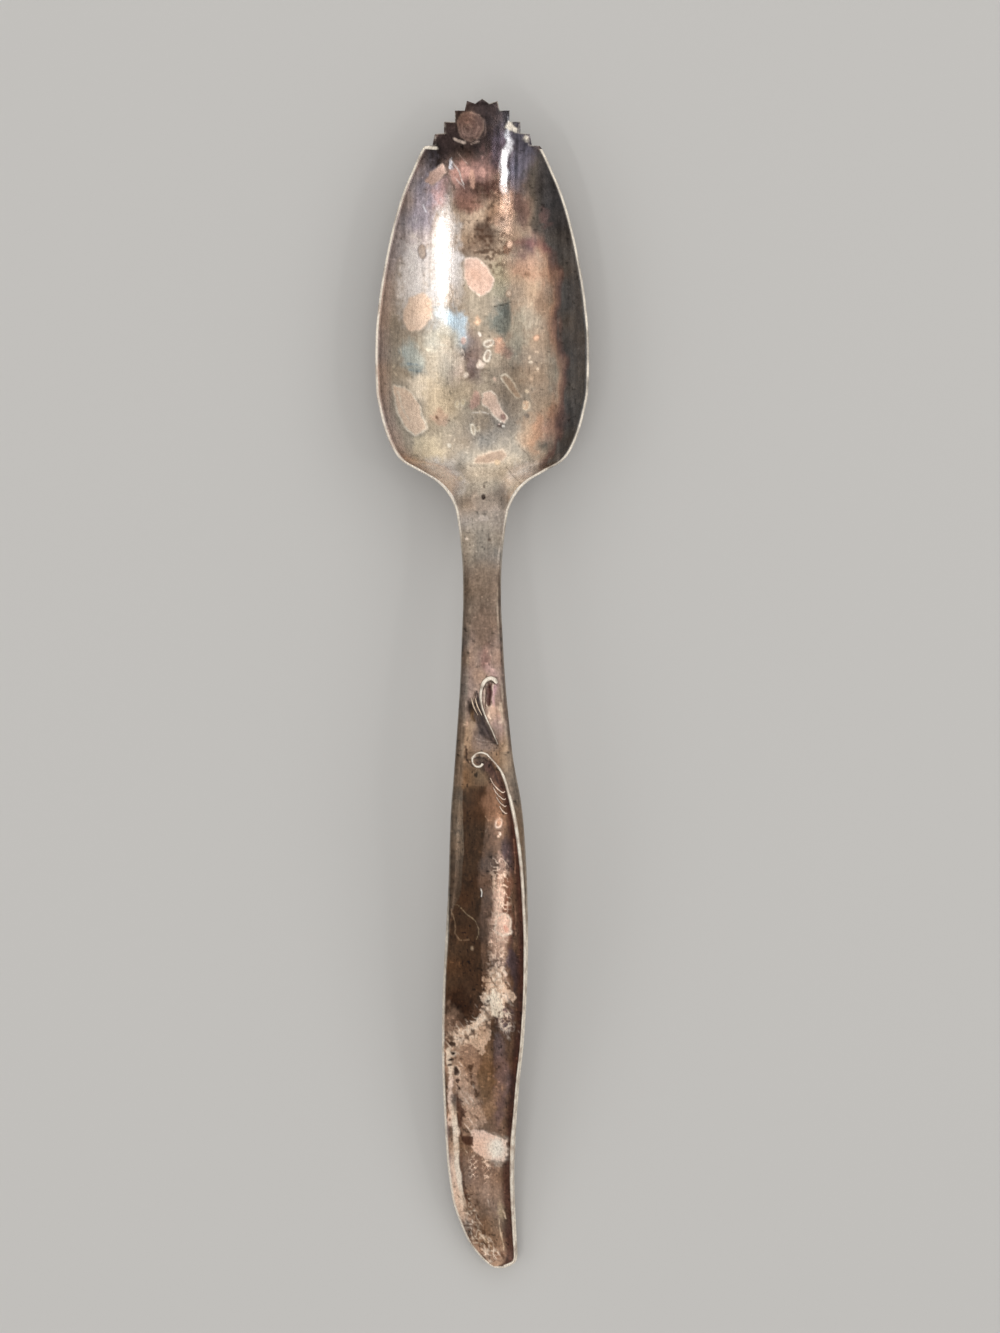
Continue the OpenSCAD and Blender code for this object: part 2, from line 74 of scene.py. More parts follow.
camera = bpy.data.objects.new("camera", bpy.data.cameras.new("camera"))
camera.data.sensor_fit = "VERTICAL"
camera.data.sensor_width = sensor
camera.data.sensor_height = sensor
camera.data.lens = sensor * focal_px / image_h
camera.data.clip_start = nearest_seen
camera.location = camera_place
bpy.context.scene.collection.objects.link(camera)
bpy.context.scene.camera = camera

# Table and light
# A plain pale table top and an even grey sky. Broad soft lamps hang over the spoon, on both sides of it and
# beyond the bowl, with a small bright one on the right and a narrow one on the left. Their watts light a
# level surface to about its own colour.
table_w = 3.0
table_drop = 0.00002
table_tone = (0.60, 0.59, 0.57)
sky_tone = (1, 0.985, 0.97)
sky_light = 0.58
lamps = [
    # Name, place, width, height, turn in degrees, watts
    ("soft_lamp", (0.62, 0.16, 0.50), 0.50, 0.60, 0, 0.72),
    ("far_lamp", (0.0, 1.05, 0.60), 1.80, 1.10, 0, 3.9),
    ("top_lamp", (0.02, 0.02, 0.75), 0.42, 0.48, 0, 0.52),
    ("left_soft_lamp", (-0.80, 0.0, 0.60), 0.60, 0.60, 0, 0.8),
    ("right_lamp", (0.435, -0.07, 0.60), 0.065, 0.10, 0, 0.22),
    ("left_lamp", (-0.21, -0.26, 0.60), 0.035, 0.26, 25, 0.36),
]

corners = [(-1, -1), (1, -1), (1, 1), (-1, 1)]
table_mesh = bpy.data.meshes.new("table")
table_mesh.from_pydata([(u * table_w / 2, v * table_w / 2, -table_drop) for u, v in corners], [],
                       [(0, 1, 2, 3)])
table = bpy.data.objects.new("table", table_mesh)
table_paint = bpy.data.materials.new("table_paint")
table_paint.use_nodes = True
table_shader = table_paint.node_tree.nodes["Principled BSDF"]
table_shader.inputs["Base Color"].default_value = (*table_tone, 1)
table_shader.inputs["Roughness"].default_value = 0.9
table_shader.inputs["Specular IOR Level"].default_value = 0.2
table_mesh.materials.append(table_paint)
bpy.context.scene.collection.objects.link(table)

sky = bpy.data.worlds.new("sky")
sky.use_nodes = True
sky.node_tree.nodes["Background"].inputs["Color"].default_value = (*sky_tone, 1)
sky.node_tree.nodes["Background"].inputs["Strength"].default_value = sky_light
bpy.context.scene.world = sky

for lamp_name, lamp_place, lamp_w, lamp_h, turn, watts in lamps:
    lamp = bpy.data.objects.new(lamp_name, bpy.data.lights.new(lamp_name, "AREA"))
    lamp.data.shape = "RECTANGLE"
    lamp.data.size = lamp_w
    lamp.data.size_y = lamp_h
    lamp.data.energy = watts
    lamp.location = lamp_place
    lamp.rotation_euler = (0, 0, math.radians(turn))
    bpy.context.scene.collection.objects.link(lamp)

bpy.context.scene.view_settings.view_transform = "Standard"

# Blank
# The real spoon is one blank of nickel silver, cut to its outline, struck between two dies and plated.
# Here are its outline and the heights of its two faces, from which each region below is taken. Its tables
# hold shares: the first of each pair is a share of a length, and the second of a size across it.
mm = 0.001


def end_of(node):
    """Place of the end of a CAD region that lies nearer the handle's end."""
    return (half_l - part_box(node)[0].y) / mm


half_l = -cad_low.y
throat_s, waist_s, collar_s = (end_of(node) for node in ("bowl", "neck", "stem"))
tip_end_s = end_of("serrated_tip")
end_s = 2 * half_l / mm
neck_l, stem_l, handle_l = waist_s - throat_s, collar_s - waist_s, end_s - collar_s
bowl_w = (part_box("bowl")[1].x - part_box("bowl")[0].x) / mm
widest_s = 0.635 * throat_s

bowl_depth, floor_t, rim_w, rim_t, tip_rise, wear_d = 6.65, 1.2, 0.45, 0.45, 0.5, 0.15
throat_w, waist_w, collar_w = 6.8, 4.9, 7.25
waist_t, collar_t, end_t = 2.9, 2.4, 1.8
bevel_w, bevel_d = 1.2, 0.75
handle_w, arch_h, swing = 10.85, 14.4, 0.74
wall_h, wall_w, low_wall_h, low_wall_w = 1.0, 3.6, 0.5, 2.2
rim_h = bowl_depth + floor_t - wear_d
belly_power, left_round_power, right_round_power = 2.2, 2.5, 1.5
wall_power, low_wall_power, join_power = 2.2, 1.6, 4
thicken_share, throat_edge_share = 0.85, 0.67
probe = 0.05

front_shares = [(0, 0), (0.009, 0.15), (0.046, 0.258), (0.085, 0.351), (0.133, 0.44), (0.193, 0.562),
                (0.27, 0.651), (0.346, 0.731), (0.461, 0.82), (0.614, 0.904), (0.767, 0.965),
                (0.921, 0.998)]
back_shares = [(0, 1), (0.195, 0.989), (0.33, 0.944), (0.463, 0.878), (0.597, 0.771), (0.665, 0.673),
               (0.732, 0.462), (0.8, 0.251), (0.866, 0.128), (0.934, 0.049)]
neck_width_shares = [(0, 1), (0.3, 0.54), (0.7, 0.14)]
stem_width_shares = [(0, 0.01), (0.12, 0), (0.36, 0.17), (0.6, 0.38), (0.83, 0.715)]
handle_width_shares = [(0.02, 0.694), (0.055, 0.752), (0.093, 0.818), (0.13, 0.859), (0.204, 0.908),
                       (0.28, 0.945), (0.357, 0.983), (0.45, 1), (0.549, 0.979), (0.627, 0.924),
                       (0.706, 0.867), (0.787, 0.816), (0.827, 0.787), (0.868, 0.753), (0.908, 0.687),
                       (0.948, 0.591), (0.968, 0.512), (0.981, 0.438), (0.991, 0.341), (1, 0.11)]
middle_shares = [(0, 0.34), (0.09, 0.74), (0.167, 0.93), (0.24, 1), (0.34, 0.85), (0.46, 0.46),
                 (0.546, 0.15), (0.633, -0.2), (0.72, -0.32), (0.786, -0.27), (0.827, -0.07),
                 (0.868, 0.27), (0.908, 0.93), (0.948, 1.82), (0.968, 2.5), (0.981, 3), (0.991, 3.27),
                 (1, 3.1)]
tip_rise_shares = [(0, 1), (0.2, 0.5)]
rise_shares = [(0, 0), (0.2, 0.03), (0.31, 0.12), (0.385, 0.23), (0.51, 0.44), (0.62, 0.63), (0.74, 0.8),
               (0.86, 0.93)]
fall_shares = [(0, 1), (0.095, 0.985), (0.18, 0.925), (0.285, 0.835), (0.37, 0.745), (0.473, 0.635),
               (0.568, 0.515), (0.662, 0.39), (0.765, 0.255), (0.867, 0.12), (0.925, 0.05),
               (0.968, 0.01), (1, 0)]
dish_shares = [(0, 1), (0.2, 0.955), (0.35, 0.87), (0.5, 0.75), (0.62, 0.61), (0.76, 0.42), (0.88, 0.25),
               (1, 0.12), (1.14, 0.03), (1.3, 0)]
bowl_thick_shares = [(0, 0), (0.09, 0.5), (0.4, 1), (1.2, 1)]
neck_thick_shares = [(0, 0.75), (0.7, 1)]
stem_thick_shares = [(0.12, 0), (1, 1)]
handle_thick_shares = [(0.3, 0.65), (0.6, 1), (1, 1)]
bevel_shares = [(0, 0), (0.11, 0.25), (0.27, 0.8), (0.4, 1), (1, 1)]
right_edge_shares = [(0.036, -0.75), (0.1, -0.7), (0.2, -0.05), (0.28, 0.4), (0.37, 0.7), (0.66, 0.55),
                     (0.95, 0.3), (1, 0.25)]
left_edge_shares = [(0.153, -0.8), (0.284, -0.6), (0.37, -0.4), (0.473, -0.13), (0.56, 0.06),
                    (0.662, 0.33), (1, 0.27)]
wall_shares = [(0, 0), (0.036, 0.12), (0.08, 0.4), (0.153, 0.75), (0.27, 0.95), (0.444, 1), (0.66, 0.8),
               (0.837, 0.6), (1, 0.45)]
low_wall_shares = [(0, 0), (0.37, 0), (0.473, 0.2), (0.56, 0.5), (0.633, 0.8), (0.735, 1), (1, 0.95)]
right_crease_shares = [(0, 1.35), (0.036, 1.6), (0.058, 1.4), (0.093, 1.13), (0.13, 0.9), (0.204, 0.6),
                       (0.28, 0.45), (0.357, 0.36), (0.473, 0.32), (1, 0.32)]
left_crease_shares = [(0, 1), (0.09, 1.1), (0.17, 1.14), (0.25, 1), (0.31, 0.58), (0.4, 0.38),
                      (0.517, 0.32), (1, 0.32)]
stem_under_shares = [(0, 0.43), (0.67, 0.43)]
left_under_shares = [(0, 0.5), (0.153, 0.42), (0.371, 0.35), (0.59, 0.3), (0.867, 0.36), (0.925, 0.46),
                     (1, 0.56)]
right_under_shares = [(0, 0.5), (0.11, 0.375), (0.226, 0.19), (0.371, 0.08), (0.59, 0.12), (0.81, 0.25),
                      (0.925, 0.46), (1, 0.56)]


def curve(table, place):
    """Smooth curve through the points (place, value) of a table: between two points a cubic, whose slope at
    each is the harmonic mean of the slopes on its two sides. It is level beyond the ends of the table."""
    knots, values = np.asarray(table, float).T
    steps = np.diff(values) / np.diff(knots)
    slopes = np.concatenate([steps[:1], np.zeros(len(steps) - 1), steps[-1:]])
    both = steps[:-1] * steps[1:]
    rising = both > 0
    slopes[1:-1][rising] = 2 * both[rising] / (steps[:-1] + steps[1:])[rising]
    at = np.clip(place, knots[0], knots[-1])
    i = np.clip(np.searchsorted(knots, at, side="right") - 1, 0, len(knots) - 2)
    span = knots[i + 1] - knots[i]
    u = (at - knots[i]) / span
    return ((1 + 2 * u) * (1 - u) ** 2 * values[i] + u ** 2 * (3 - 2 * u) * values[i + 1]
            + span * u * (1 - u) * ((1 - u) * slopes[i] - u * slopes[i + 1]))


def placed(shares, start, length, at_0, at_1):
    """A table of shares laid along a length, and scaled between its values at share 0 and share 1."""
    return [(start + place * length, at_0 + (at_1 - at_0) * value) for place, value in shares]


def along_handle(shares, at_0, at_1):
    """A table of shares laid along the handle."""
    return placed(shares, collar_s, handle_l, at_0, at_1)


widths = (placed(front_shares, 0, widest_s, 0, bowl_w)
          + placed(back_shares, widest_s, throat_s - widest_s, throat_w, bowl_w)
          + placed(neck_width_shares, throat_s, neck_l, waist_w, throat_w)
          + placed(stem_width_shares, waist_s, stem_l, waist_w, collar_w)
          + [(collar_s, collar_w)] + along_handle(handle_width_shares, 0, handle_w))
squared_widths = [(place, width ** 2) for place, width in widths]
middles = [(throat_s, 0), (waist_s, 0)] + along_handle(middle_shares, 0, swing)
bowl_creases = [(widest_s, rim_w), (throat_s, rim_w), (waist_s, bevel_w)]
left_creases = bowl_creases + along_handle(left_crease_shares, 0, bevel_w)
right_creases = bowl_creases + along_handle(right_crease_shares, 0, bevel_w)
heights = (placed(tip_rise_shares, 0, widest_s, rim_h, rim_h + tip_rise)
           + placed(rise_shares, widest_s, collar_s - widest_s, rim_h, arch_h)
           + along_handle(fall_shares, end_t, arch_h))
dishes = placed(dish_shares, widest_s, throat_s - widest_s, 0, bowl_depth)
thicknesses = (placed(bowl_thick_shares, 0, widest_s, rim_t, floor_t)
               + placed(neck_thick_shares, throat_s, neck_l, floor_t, waist_t)
               + placed(stem_thick_shares, waist_s, stem_l, waist_t, collar_t)
               + along_handle(handle_thick_shares, collar_t, end_t + wear_d))
bevels = placed(bevel_shares, throat_s, collar_s - throat_s, 0, -bevel_d)
left_edges = bevels + along_handle(left_edge_shares, 0, bevel_d)
right_edges = bevels + along_handle(right_edge_shares, 0, wall_h)
front_under = ([(throat_s * thicken_share, rim_t), (throat_s, floor_t * throat_edge_share)]
               + placed(stem_under_shares, waist_s, stem_l, 0, waist_t))
left_under = front_under + along_handle(left_under_shares, 0, collar_t)
right_under = front_under + along_handle(right_under_shares, 0, collar_t)
walls = along_handle(wall_shares, 0, wall_h)
low_walls = along_handle(low_wall_shares, 0, low_wall_h)


def half_width(s):
    """Half the width of the outline: the root of a smooth curve through the squares of its widths."""
    return np.sqrt(np.maximum(0, curve(squared_widths, s))) / 2


def left_edge(s):
    """Place of the left edge, half a width from the middle line, which swings sideways on the handle."""
    return curve(middles, s) - half_width(s)


def right_edge(s):
    """Place of the right edge."""
    return curve(middles, s) + half_width(s)


def inner_half(s):
    """Half width inside the rim: the outline, drawn in by the rim's width all round the tip."""
    tip = half_width(np.maximum(0, s - rim_w) * widest_s / (widest_s - rim_w)) * (1 - 2 * rim_w / bowl_w)
    return np.where(s < widest_s, tip, half_width(s) - rim_w)


def inset(s, creases):
    """Distance from an edge to the crease where the rim, the bevel or the wall of the hollow begins."""
    return np.where(s < widest_s, half_width(s) - inner_half(s), curve(creases, s))


def slope_of(height, distance, width, power):
    """Wall of the hollow: full height at its crease, and down to the floor over the width of its slope."""
    return height * np.maximum(0, 1 - np.maximum(0, distance) / width) ** power


def dish_of(s):
    """Depth of the bowl along its middle line: in front of its widest place it goes with the square of the
    width inside the rim, and behind it follows a curve."""
    return np.where(s < widest_s, bowl_depth * (inner_half(s) / inner_half(np.array(widest_s))) ** 2,
                    curve(dishes, s))


def between(s, x):
    """Height between the two creases: the level, less the dish of the bowl, plus the walls of the hollow,
    joined by the root of the sum of their powers."""
    half_inside = inner_half(s)
    share = np.minimum(1, abs(x - curve(middles, s)) / np.maximum(half_inside, rim_t))
    from_left = x - left_edge(s) - inset(s, left_creases)
    left = slope_of(curve(low_walls, s), from_left, low_wall_w, low_wall_power)
    right = slope_of(curve(walls, s), right_edge(s) - inset(s, right_creases) - x, wall_w, wall_power)
    round_end = slope_of(curve(low_walls, s), end_s - inset(s, left_creases) - s, low_wall_w,
                         low_wall_power)
    wall = (left ** join_power + right ** join_power + round_end ** join_power) ** (1 / join_power)
    return curve(heights, s) - dish_of(s) * (1 - share ** belly_power) + wall


def top(s, x):
    """Height of the upper face: outside a crease it falls or rises in a curve to the edge."""
    left, right = left_edge(s), right_edge(s)
    left_in, right_in = inset(s, left_creases), inset(s, right_creases)
    from_left = np.clip((x - left) / left_in, 0, 1)
    from_right = np.clip((right - x) / right_in, 0, 1)
    level = curve(heights, s)
    at_left, at_right = between(s, left + left_in), between(s, right - right_in)
    on_left = at_left + (level + curve(left_edges, s) - at_left) * (1 - from_left) ** left_round_power
    on_right = at_right + (level + curve(right_edges, s) - at_right) * (1 - from_right) ** right_round_power
    inside = np.where(from_left < 1, on_left, np.where(from_right < 1, on_right, between(s, x)))
    return np.where(s < widest_s, between(s, x), inside)


def under(s, x):
    """Height of the lower face: a belly hung between the two edges, worn flat where it meets the table."""
    share = np.clip((x - curve(middles, s)) / np.maximum(half_width(s), probe), -1, 1)
    left, right = curve(left_under, s), curve(right_under, s)
    belly = curve(thicknesses, s) + dish_of(s) - (left + right) / 2
    drop = left + (right - left) * (share + 1) / 2 + belly * (1 - abs(share) ** belly_power)
    return np.maximum(0, curve(heights, s) - drop)


# Struck detail
# The dies left more than the main form: a slot, a pad and hollows round the scrolls, and edges that use has
# rounded. The metal also has the faint waves of an old spoon, and the dents of wear on the handle.
lattice_size = 211


def smooth(u):
    """Share that runs from 0 to 1, level at both ends."""
    return u * u * (3 - 2 * u)


def fade(distance, inner, outer):
    """1 within the inner distance, 0 beyond the outer one, and a smooth step between them."""
    return smooth(np.clip((outer - distance) / (outer - inner), 0, 1))


def after(value, start, full):
    """0 up to the start, 1 from the full one on, and a smooth step between them."""
    return fade(-value, -full, -start)


def cloud(s, x, period, seed, drawn_out=1.0):
    """Smooth random field from -1 to 1: seeded values on a lattice of this period, joined by smooth steps.
    The lattice is drawn out along the spoon."""
    values = np.random.default_rng(seed).uniform(-1, 1, (lattice_size, lattice_size))
    u, v = s / (period * drawn_out), x / period
    i, j = np.floor(u).astype(int), np.floor(v).astype(int)
    a, b = smooth(u - i), smooth(v - j)
    i0, i1, j0, j1 = i % lattice_size, (i + 1) % lattice_size, j % lattice_size, (j + 1) % lattice_size
    return ((values[i0, j0] * (1 - a) + values[i1, j0] * a) * (1 - b)
            + (values[i0, j1] * (1 - a) + values[i1, j1] * a) * b)


def from_line(s, x, points):
    """Distance from a line of straight stretches through the points, or from one point."""
    nearest = np.hypot(s - points[0][0], x - points[0][1])
    for (s0, x0), (s1, x1) in zip(points[:-1], points[1:]):
        length = math.hypot(s1 - s0, x1 - x0)
        ds, dx = (s1 - s0) / length, (x1 - x0) / length
        t = np.clip((s - s0) * ds + (x - x0) * dx, 0, length)
        nearest = np.minimum(nearest, np.hypot(s - s0 - t * ds, x - x0 - t * dx))
    return nearest


def streak(points, radius):
    """Distance outside a line of that radius."""
    return lambda s, x: from_line(s, x, points) - radius


def patch(points, rounding=0.3):
    """Distance outside a polygon with rounded corners, negative within it."""
    def distance(s, x):
        closed = points + points[:1]
        crossings = np.zeros(np.shape(s), bool)
        for (s0, x0), (s1, x1) in zip(closed[:-1], closed[1:]):
            spans = (x0 > x) != (x1 > x)
            crossings ^= spans & (s < s0 + (s1 - s0) * (x - x0) / (x1 - x0 if x1 != x0 else 1))
        away = from_line(s, x, closed)
        return np.where(crossings, -away, away) - rounding
    return distance


struck_marks = [
    # Outline or line of places, whether it is closed, distances within which it is full and beyond which it
    # is gone, height
    ([(76.1, 0.5), (75.8, 1.5), (76.4, 2.3), (80.0, 2.6), (83.5, 2.7), (83.9, 2.3), (82.0, 1.4),
      (79.6, 0.4), (77.8, 0.0), (76.7, 0.05)], True, -0.1, 0.35, 0.16),
    ([(76.2, 0.75), (77.2, 0.8), (78.6, 0.7)], False, 0.12, 0.42, -0.26),
    ([(77.6, -0.7), (79.4, -0.45), (81.0, 0.0), (82.6, 0.9), (83.5, 1.7)], False, 0.1, 0.7, -0.26),
    ([(82.0, -0.2), (83.0, 0.6)], False, 0.3, 0.9, -0.12),
    ([(78.6, -1.6), (80.2, -1.3)], False, 0.15, 0.7, -0.12),
    ([(84.6, -1.9), (85.8, -1.7), (86.6, -1.2)], False, 0.05, 0.5, -0.14),
    ([(85.6, -0.3)], False, 0.1, 0.5, -0.16),
    ([(86.2, 0.5), (87.4, 1.4), (89.2, 2.3), (91.4, 3.0)], False, 0.3, 1.1, -0.22),
]
worn_pits = [
    # Place, radius, depth
    ((122.6, -3.9), 0.35, 0.05), ((123.9, -3.8), 0.4, 0.06), ((125.5, -3.9), 0.3, 0.04),
    ((126.3, -3.4), 0.4, 0.06), ((136.4, -2.6), 0.4, 0.05), ((137.0, -1.6), 0.5, 0.06),
    ((51.6, 0.1), 0.3, 0.05), ((41.2, 2.3), 0.3, 0.03),
]
ripple_place, ripple_size, ripple_wave, ripple_h = (140.0, 0.1), (2.4, 2.2), 0.72, 0.022
wave_h, dimple_h = 0.016, 0.004


def struck(s, x):
    """Height that the struck marks, the pits and ripples of wear and the faint waves add to the face."""
    added = wave_h * cloud(s, x, 6.5, 3, 1.6) + dimple_h * cloud(s, x, 1.3, 4)
    for points, closed, inner, outer, height in struck_marks:
        shape = patch(points, 0) if closed else streak(points, 0)
        added = added + height * fade(shape(s, x), inner, outer)
    for (pit_s, pit_x), radius, depth in worn_pits:
        added = added - depth * fade(np.hypot(s - pit_s, x - pit_x), radius / 3, radius)
    bend = 0.5 * abs(np.sin((x - ripple_place[1]) * 2.2))
    ripple = np.sin((s + bend + 0.25 * cloud(s, x, 1.1, 5)) * 2 * np.pi / ripple_wave)
    reach = np.hypot((s - ripple_place[0]) / ripple_size[0], (x - ripple_place[1]) / ripple_size[1])
    return added + ripple_h * ripple * fade(reach, 0.5, 1.1)


edge_round = 0.3
edge_wall_share = 0.45


def rounded_off(distance, radius):
    """Depth by which a quarter of a circle of this radius takes the face down towards an edge."""
    return radius - np.sqrt(np.maximum(0, radius ** 2 - (radius - np.minimum(distance, radius)) ** 2))


def edge_distance(s, x):
    """Distance from the nearest edge, square to it: the distance across, over the root of 1 plus the square
    of that edge's slope, or else the distance from the end of the handle."""
    left_slope = (left_edge(s + probe) - left_edge(s - probe)) / (2 * probe)
    right_slope = (right_edge(s + probe) - right_edge(s - probe)) / (2 * probe)
    from_left = (x - left_edge(s)) / np.hypot(1, left_slope)
    from_right = (right_edge(s) - x) / np.hypot(1, right_slope)
    return np.maximum(0, np.minimum(np.minimum(from_left, from_right), end_s - s))


def faces(s, x, distance):
    """Heights of the upper and the lower face, both rounded towards the edge, by a radius that the height
    of the edge limits."""
    nearer_left = x < curve(middles, s)
    rim_x = np.where(nearer_left, left_edge(s), right_edge(s))
    radius = np.minimum(edge_round, edge_wall_share * (top(s, rim_x) - under(s, rim_x)))
    cut = rounded_off(distance, radius)
    above = top(s, x) + struck(s, x) * after(distance, 0, radius) - cut
    return above, np.maximum(under(s, x) + cut, 0)


# Bowl
# Deep, pointed and open upwards, struck thinner than the rest. Its plate has tarnished brown, rose, olive
# and blue-grey, darker on its right in rust-coloured tarnish and painted shade, and its rim is rubbed
# bright.
# The front is dark with tarnish and painted shade, and some washes are painted light: a highlight at the
# front, a bright edge beside the lamp's reflection on the left, and the bright sides of the throat. A coat
# is laid on in this order: its ground, soft washes, spots with a definite edge where drops have dried, and
# a fine mottle.
bowl_steps = 200
bowl_row_l = 0.16
rim_line_w = 0.29
look_lift, brightest, darkest = 1.25, 0.93, 0.004
outline_w = 0.13
ground_seed = 20


def tone(red, green, blue):
    """Linear colour of the metal whose look on the lit spoon is this colour from 0 to 255."""
    share = np.array([red, green, blue]) / 255
    linear = np.where(share <= 0.04045, share / 12.92, ((share + 0.055) / 1.055) ** 2.4)
    return linear * min(look_lift, brightest / linear.max())


bright_silver = tone(242, 231, 214)
cream, rose, umber, dark_tarnish_and_shade = (226, 200, 178), (206, 170, 155), (76, 54, 39), (56, 45, 42)
ground_looks = [
    # Place, look from 0 to 255
    (0, (74, 62, 58)), (6, (80, 66, 60)), (9, (112, 92, 82)), (13, (140, 120, 104)), (20, (158, 139, 121)),
    (30, (158, 143, 126)), (45, (174, 160, 142)), (53, (158, 143, 130)), (59, (130, 118, 107)),
    (66, (122, 104, 90)), (74, (150, 126, 113)), (84.5, (116, 96, 79)), (90, (88, 65, 47)),
    (104, (70, 48, 32)), (118, (76, 53, 37)), (130, (104, 80, 63)), (142, (136, 110, 92)),
    (153, (146, 118, 98)),
]


def ground(s):
    """Ground of the upper face, which changes along the spoon."""
    tones = [(place, tone(*look)) for place, look in ground_looks]
    return np.stack([curve([(place, colour[k]) for place, colour in tones], s) for k in range(3)], axis=-1)


def mixed(under_tone, over_tone, share):
    """The one tone, and a share of the way from it to the other."""
    return under_tone + (over_tone - under_tone) * np.asarray(share)[..., None]


def turned(s, x, place, turn):
    """Distances from a place along a line and across it, turned by this many degrees from the axis."""
    c, d = math.cos(math.radians(turn)), math.sin(math.radians(turn))
    return (s - place[0]) * c + (x - place[1]) * d, (x - place[1]) * c - (s - place[0]) * d


def disc(place, size, turn=0):
    """Distance outside an ellipse, negative within it, by the usual estimate from two scaled radii."""
    def distance(s, x):
        u, v = turned(s, x, place, turn)
        k1 = np.hypot(u / size[0], v / size[1])
        k2 = np.hypot(u / size[0] ** 2, v / size[1] ** 2)
        return k1 * (k1 - 1) / np.maximum(k2, 1e-6)
    return distance


def wash(place, size, look, strength=0.8, turn=0, softness=0.6):
    """Soft blot: an ellipse of these half sizes, and how soft it is as a share of its size."""
    return place, size, tone(*look), strength, turn, softness


def spot(shape, look, strength=0.85, softness=0.1, ragged=0.05, line=None, line_strength=0.6):
    """Blot with a definite edge, ragged by this many millimetres, and perhaps with an outline."""
    return shape, tone(*look), strength, softness, ragged, line and tone(*line), line_strength


def washed(coat, s, x, washes, seed=ground_seed):
    """Coat with soft blots laid over it. Clouds move every place a little and break up the soft edges."""
    at_s = s + 0.7 * cloud(s, x, 2.6, seed) + 0.3 * cloud(s, x, 0.9, seed + 1)
    at_x = x + 0.7 * cloud(s, x, 2.6, seed + 2) + 0.3 * cloud(s, x, 0.9, seed + 3)
    speckle = 0.5 * cloud(s, x, 0.6, seed + 4) + 0.6 * cloud(s, x, 0.26, seed + 5, 1.6)
    for place, size, colour, strength, turn, softness in washes:
        u, v = turned(at_s, at_x, place, turn)
        reach = np.hypot(u / size[0], v / size[1]) + 0.5 * softness * speckle
        coat = mixed(coat, colour, strength * fade(reach, 1 - softness, 1 + softness))
    return coat


def spotted(coat, s, x, spots, seed=ground_seed + 6):
    """Coat with definite spots laid over it. Their outlines come and go."""
    at_s = s + 0.12 * cloud(s, x, 0.9, seed)
    at_x = x + 0.12 * cloud(s, x, 0.9, seed + 1)
    broken = (cloud(s, x, 0.8, seed + 2) + 0.7 * cloud(s, x, 0.36, seed + 3)
              + 0.5 * cloud(s, x, 0.2, seed + 4))
    faint = np.clip(0.7 + 0.6 * cloud(s, x, 0.7, seed + 5), 0, 1)
    for shape, colour, strength, softness, ragged, line, line_strength in spots:
        away = shape(at_s, at_x) + ragged * broken
        coat = mixed(coat, colour, strength * fade(away, -softness, softness))
        if line is not None:
            coat = mixed(coat, line, line_strength * faint * np.exp(-(away / outline_w) ** 2))
    return coat


def mottled(coat, s, x, amount, seed=ground_seed + 12):
    """Coat with the uneven shade of an old plate: clouds of four sizes, the finest drawn out along the spoon
    like the strokes of a cloth, a drift between warm and cool, and scattered dark and pale specks. All this
    is weaker where the coat is bright."""
    shade = (0.4 * cloud(s, x, 1.5, seed) + 0.6 * cloud(s, x, 0.62, seed + 1)
             + 0.9 * cloud(s, x, 0.3, seed + 2, 1.5) + 0.5 * cloud(s, x, 0.2, seed + 3, 9))
    warmth = cloud(s, x, 2.2, seed + 4)[..., None] * np.array([0.45, 0.0, -0.5])
    dark = after(cloud(s, x, 0.31, seed + 5), 0.62, 0.86) * fade(cloud(s, x, 2.4, seed + 7), -0.3, 0.6)
    pale = after(cloud(s, x, 0.37, seed + 6), 0.7, 0.92) * fade(cloud(s, x, 2.0, seed + 8), -0.3, 0.6)
    amount = amount * (1.15 - 0.85 * coat.max(axis=-1))
    coat = coat * (1 + amount[..., None] * (shade[..., None] + warmth))
    coat = np.maximum(coat * (1 - 3.2 * amount * dark + 4 * amount * pale)[..., None], darkest)
    return coat * np.minimum(1, brightest / coat.max(axis=-1, keepdims=True))


lower_seed, lower_spot_count = 71, 96


def lower_spots():
    """Dried spots scattered over the whole lower face, rose or dark, most with a pale outline."""
    rng = np.random.default_rng(lower_seed)
    at_s = rng.uniform(2, end_s - 2, lower_spot_count)
    at_x = curve(middles, at_s) + 0.9 * half_width(at_s) * rng.uniform(-1, 1, lower_spot_count)
    return [spot(disc(place, tuple(rng.uniform(0.25, 1.1, 2)), rng.uniform(0, 180)),
                 rose if k % 3 else umber, rng.uniform(0.35, 0.8), line=cream,
                 line_strength=rng.uniform(0, 0.6))
            for k, place in enumerate(zip(at_s, at_x))]


def below_coat(s, x, distance):
    """Coat and polish of the lower face: brown and grey clouds with dried spots, darker under the tip, and
    rubbed bright where it rests on the table and at its edge."""
    coat = np.broadcast_to(tone(132, 116, 102), (*s.shape, 3))
    clouds = [0.7 * smooth(np.clip(0.5 + cloud(s, x, 5.0, lower_seed, 1.6), 0, 1)),
              0.6 * smooth(np.clip(1.3 * cloud(s, x, 3.4, lower_seed + 1), 0, 1)),
              0.6 * smooth(np.clip(1.3 * cloud(s, x, 2.2, lower_seed + 2), 0, 1)), 0.55 * fade(s, 3, 10)]
    for look, share in zip([(96, 78, 66), (172, 156, 138), (128, 96, 80), dark_tarnish_and_shade], clouds):
        coat = mixed(coat, tone(*look), share)
    with_spots = spotted(coat, s, x, lower_spots(), lower_seed + 3)
    coat = mottled(mixed(coat, with_spots, after(distance, 0.4, 0.9)), s, x, 0.16, lower_seed + 9)
    rubbed = 0.8 * fade(under(s, x), 0.02, 0.35) * (0.6 + 0.4 * cloud(s, x, 0.7, lower_seed + 5))
    return rubbed_rim(mixed(coat, bright_silver, rubbed), rubbed, s, x, distance, 0.2, 0.6)


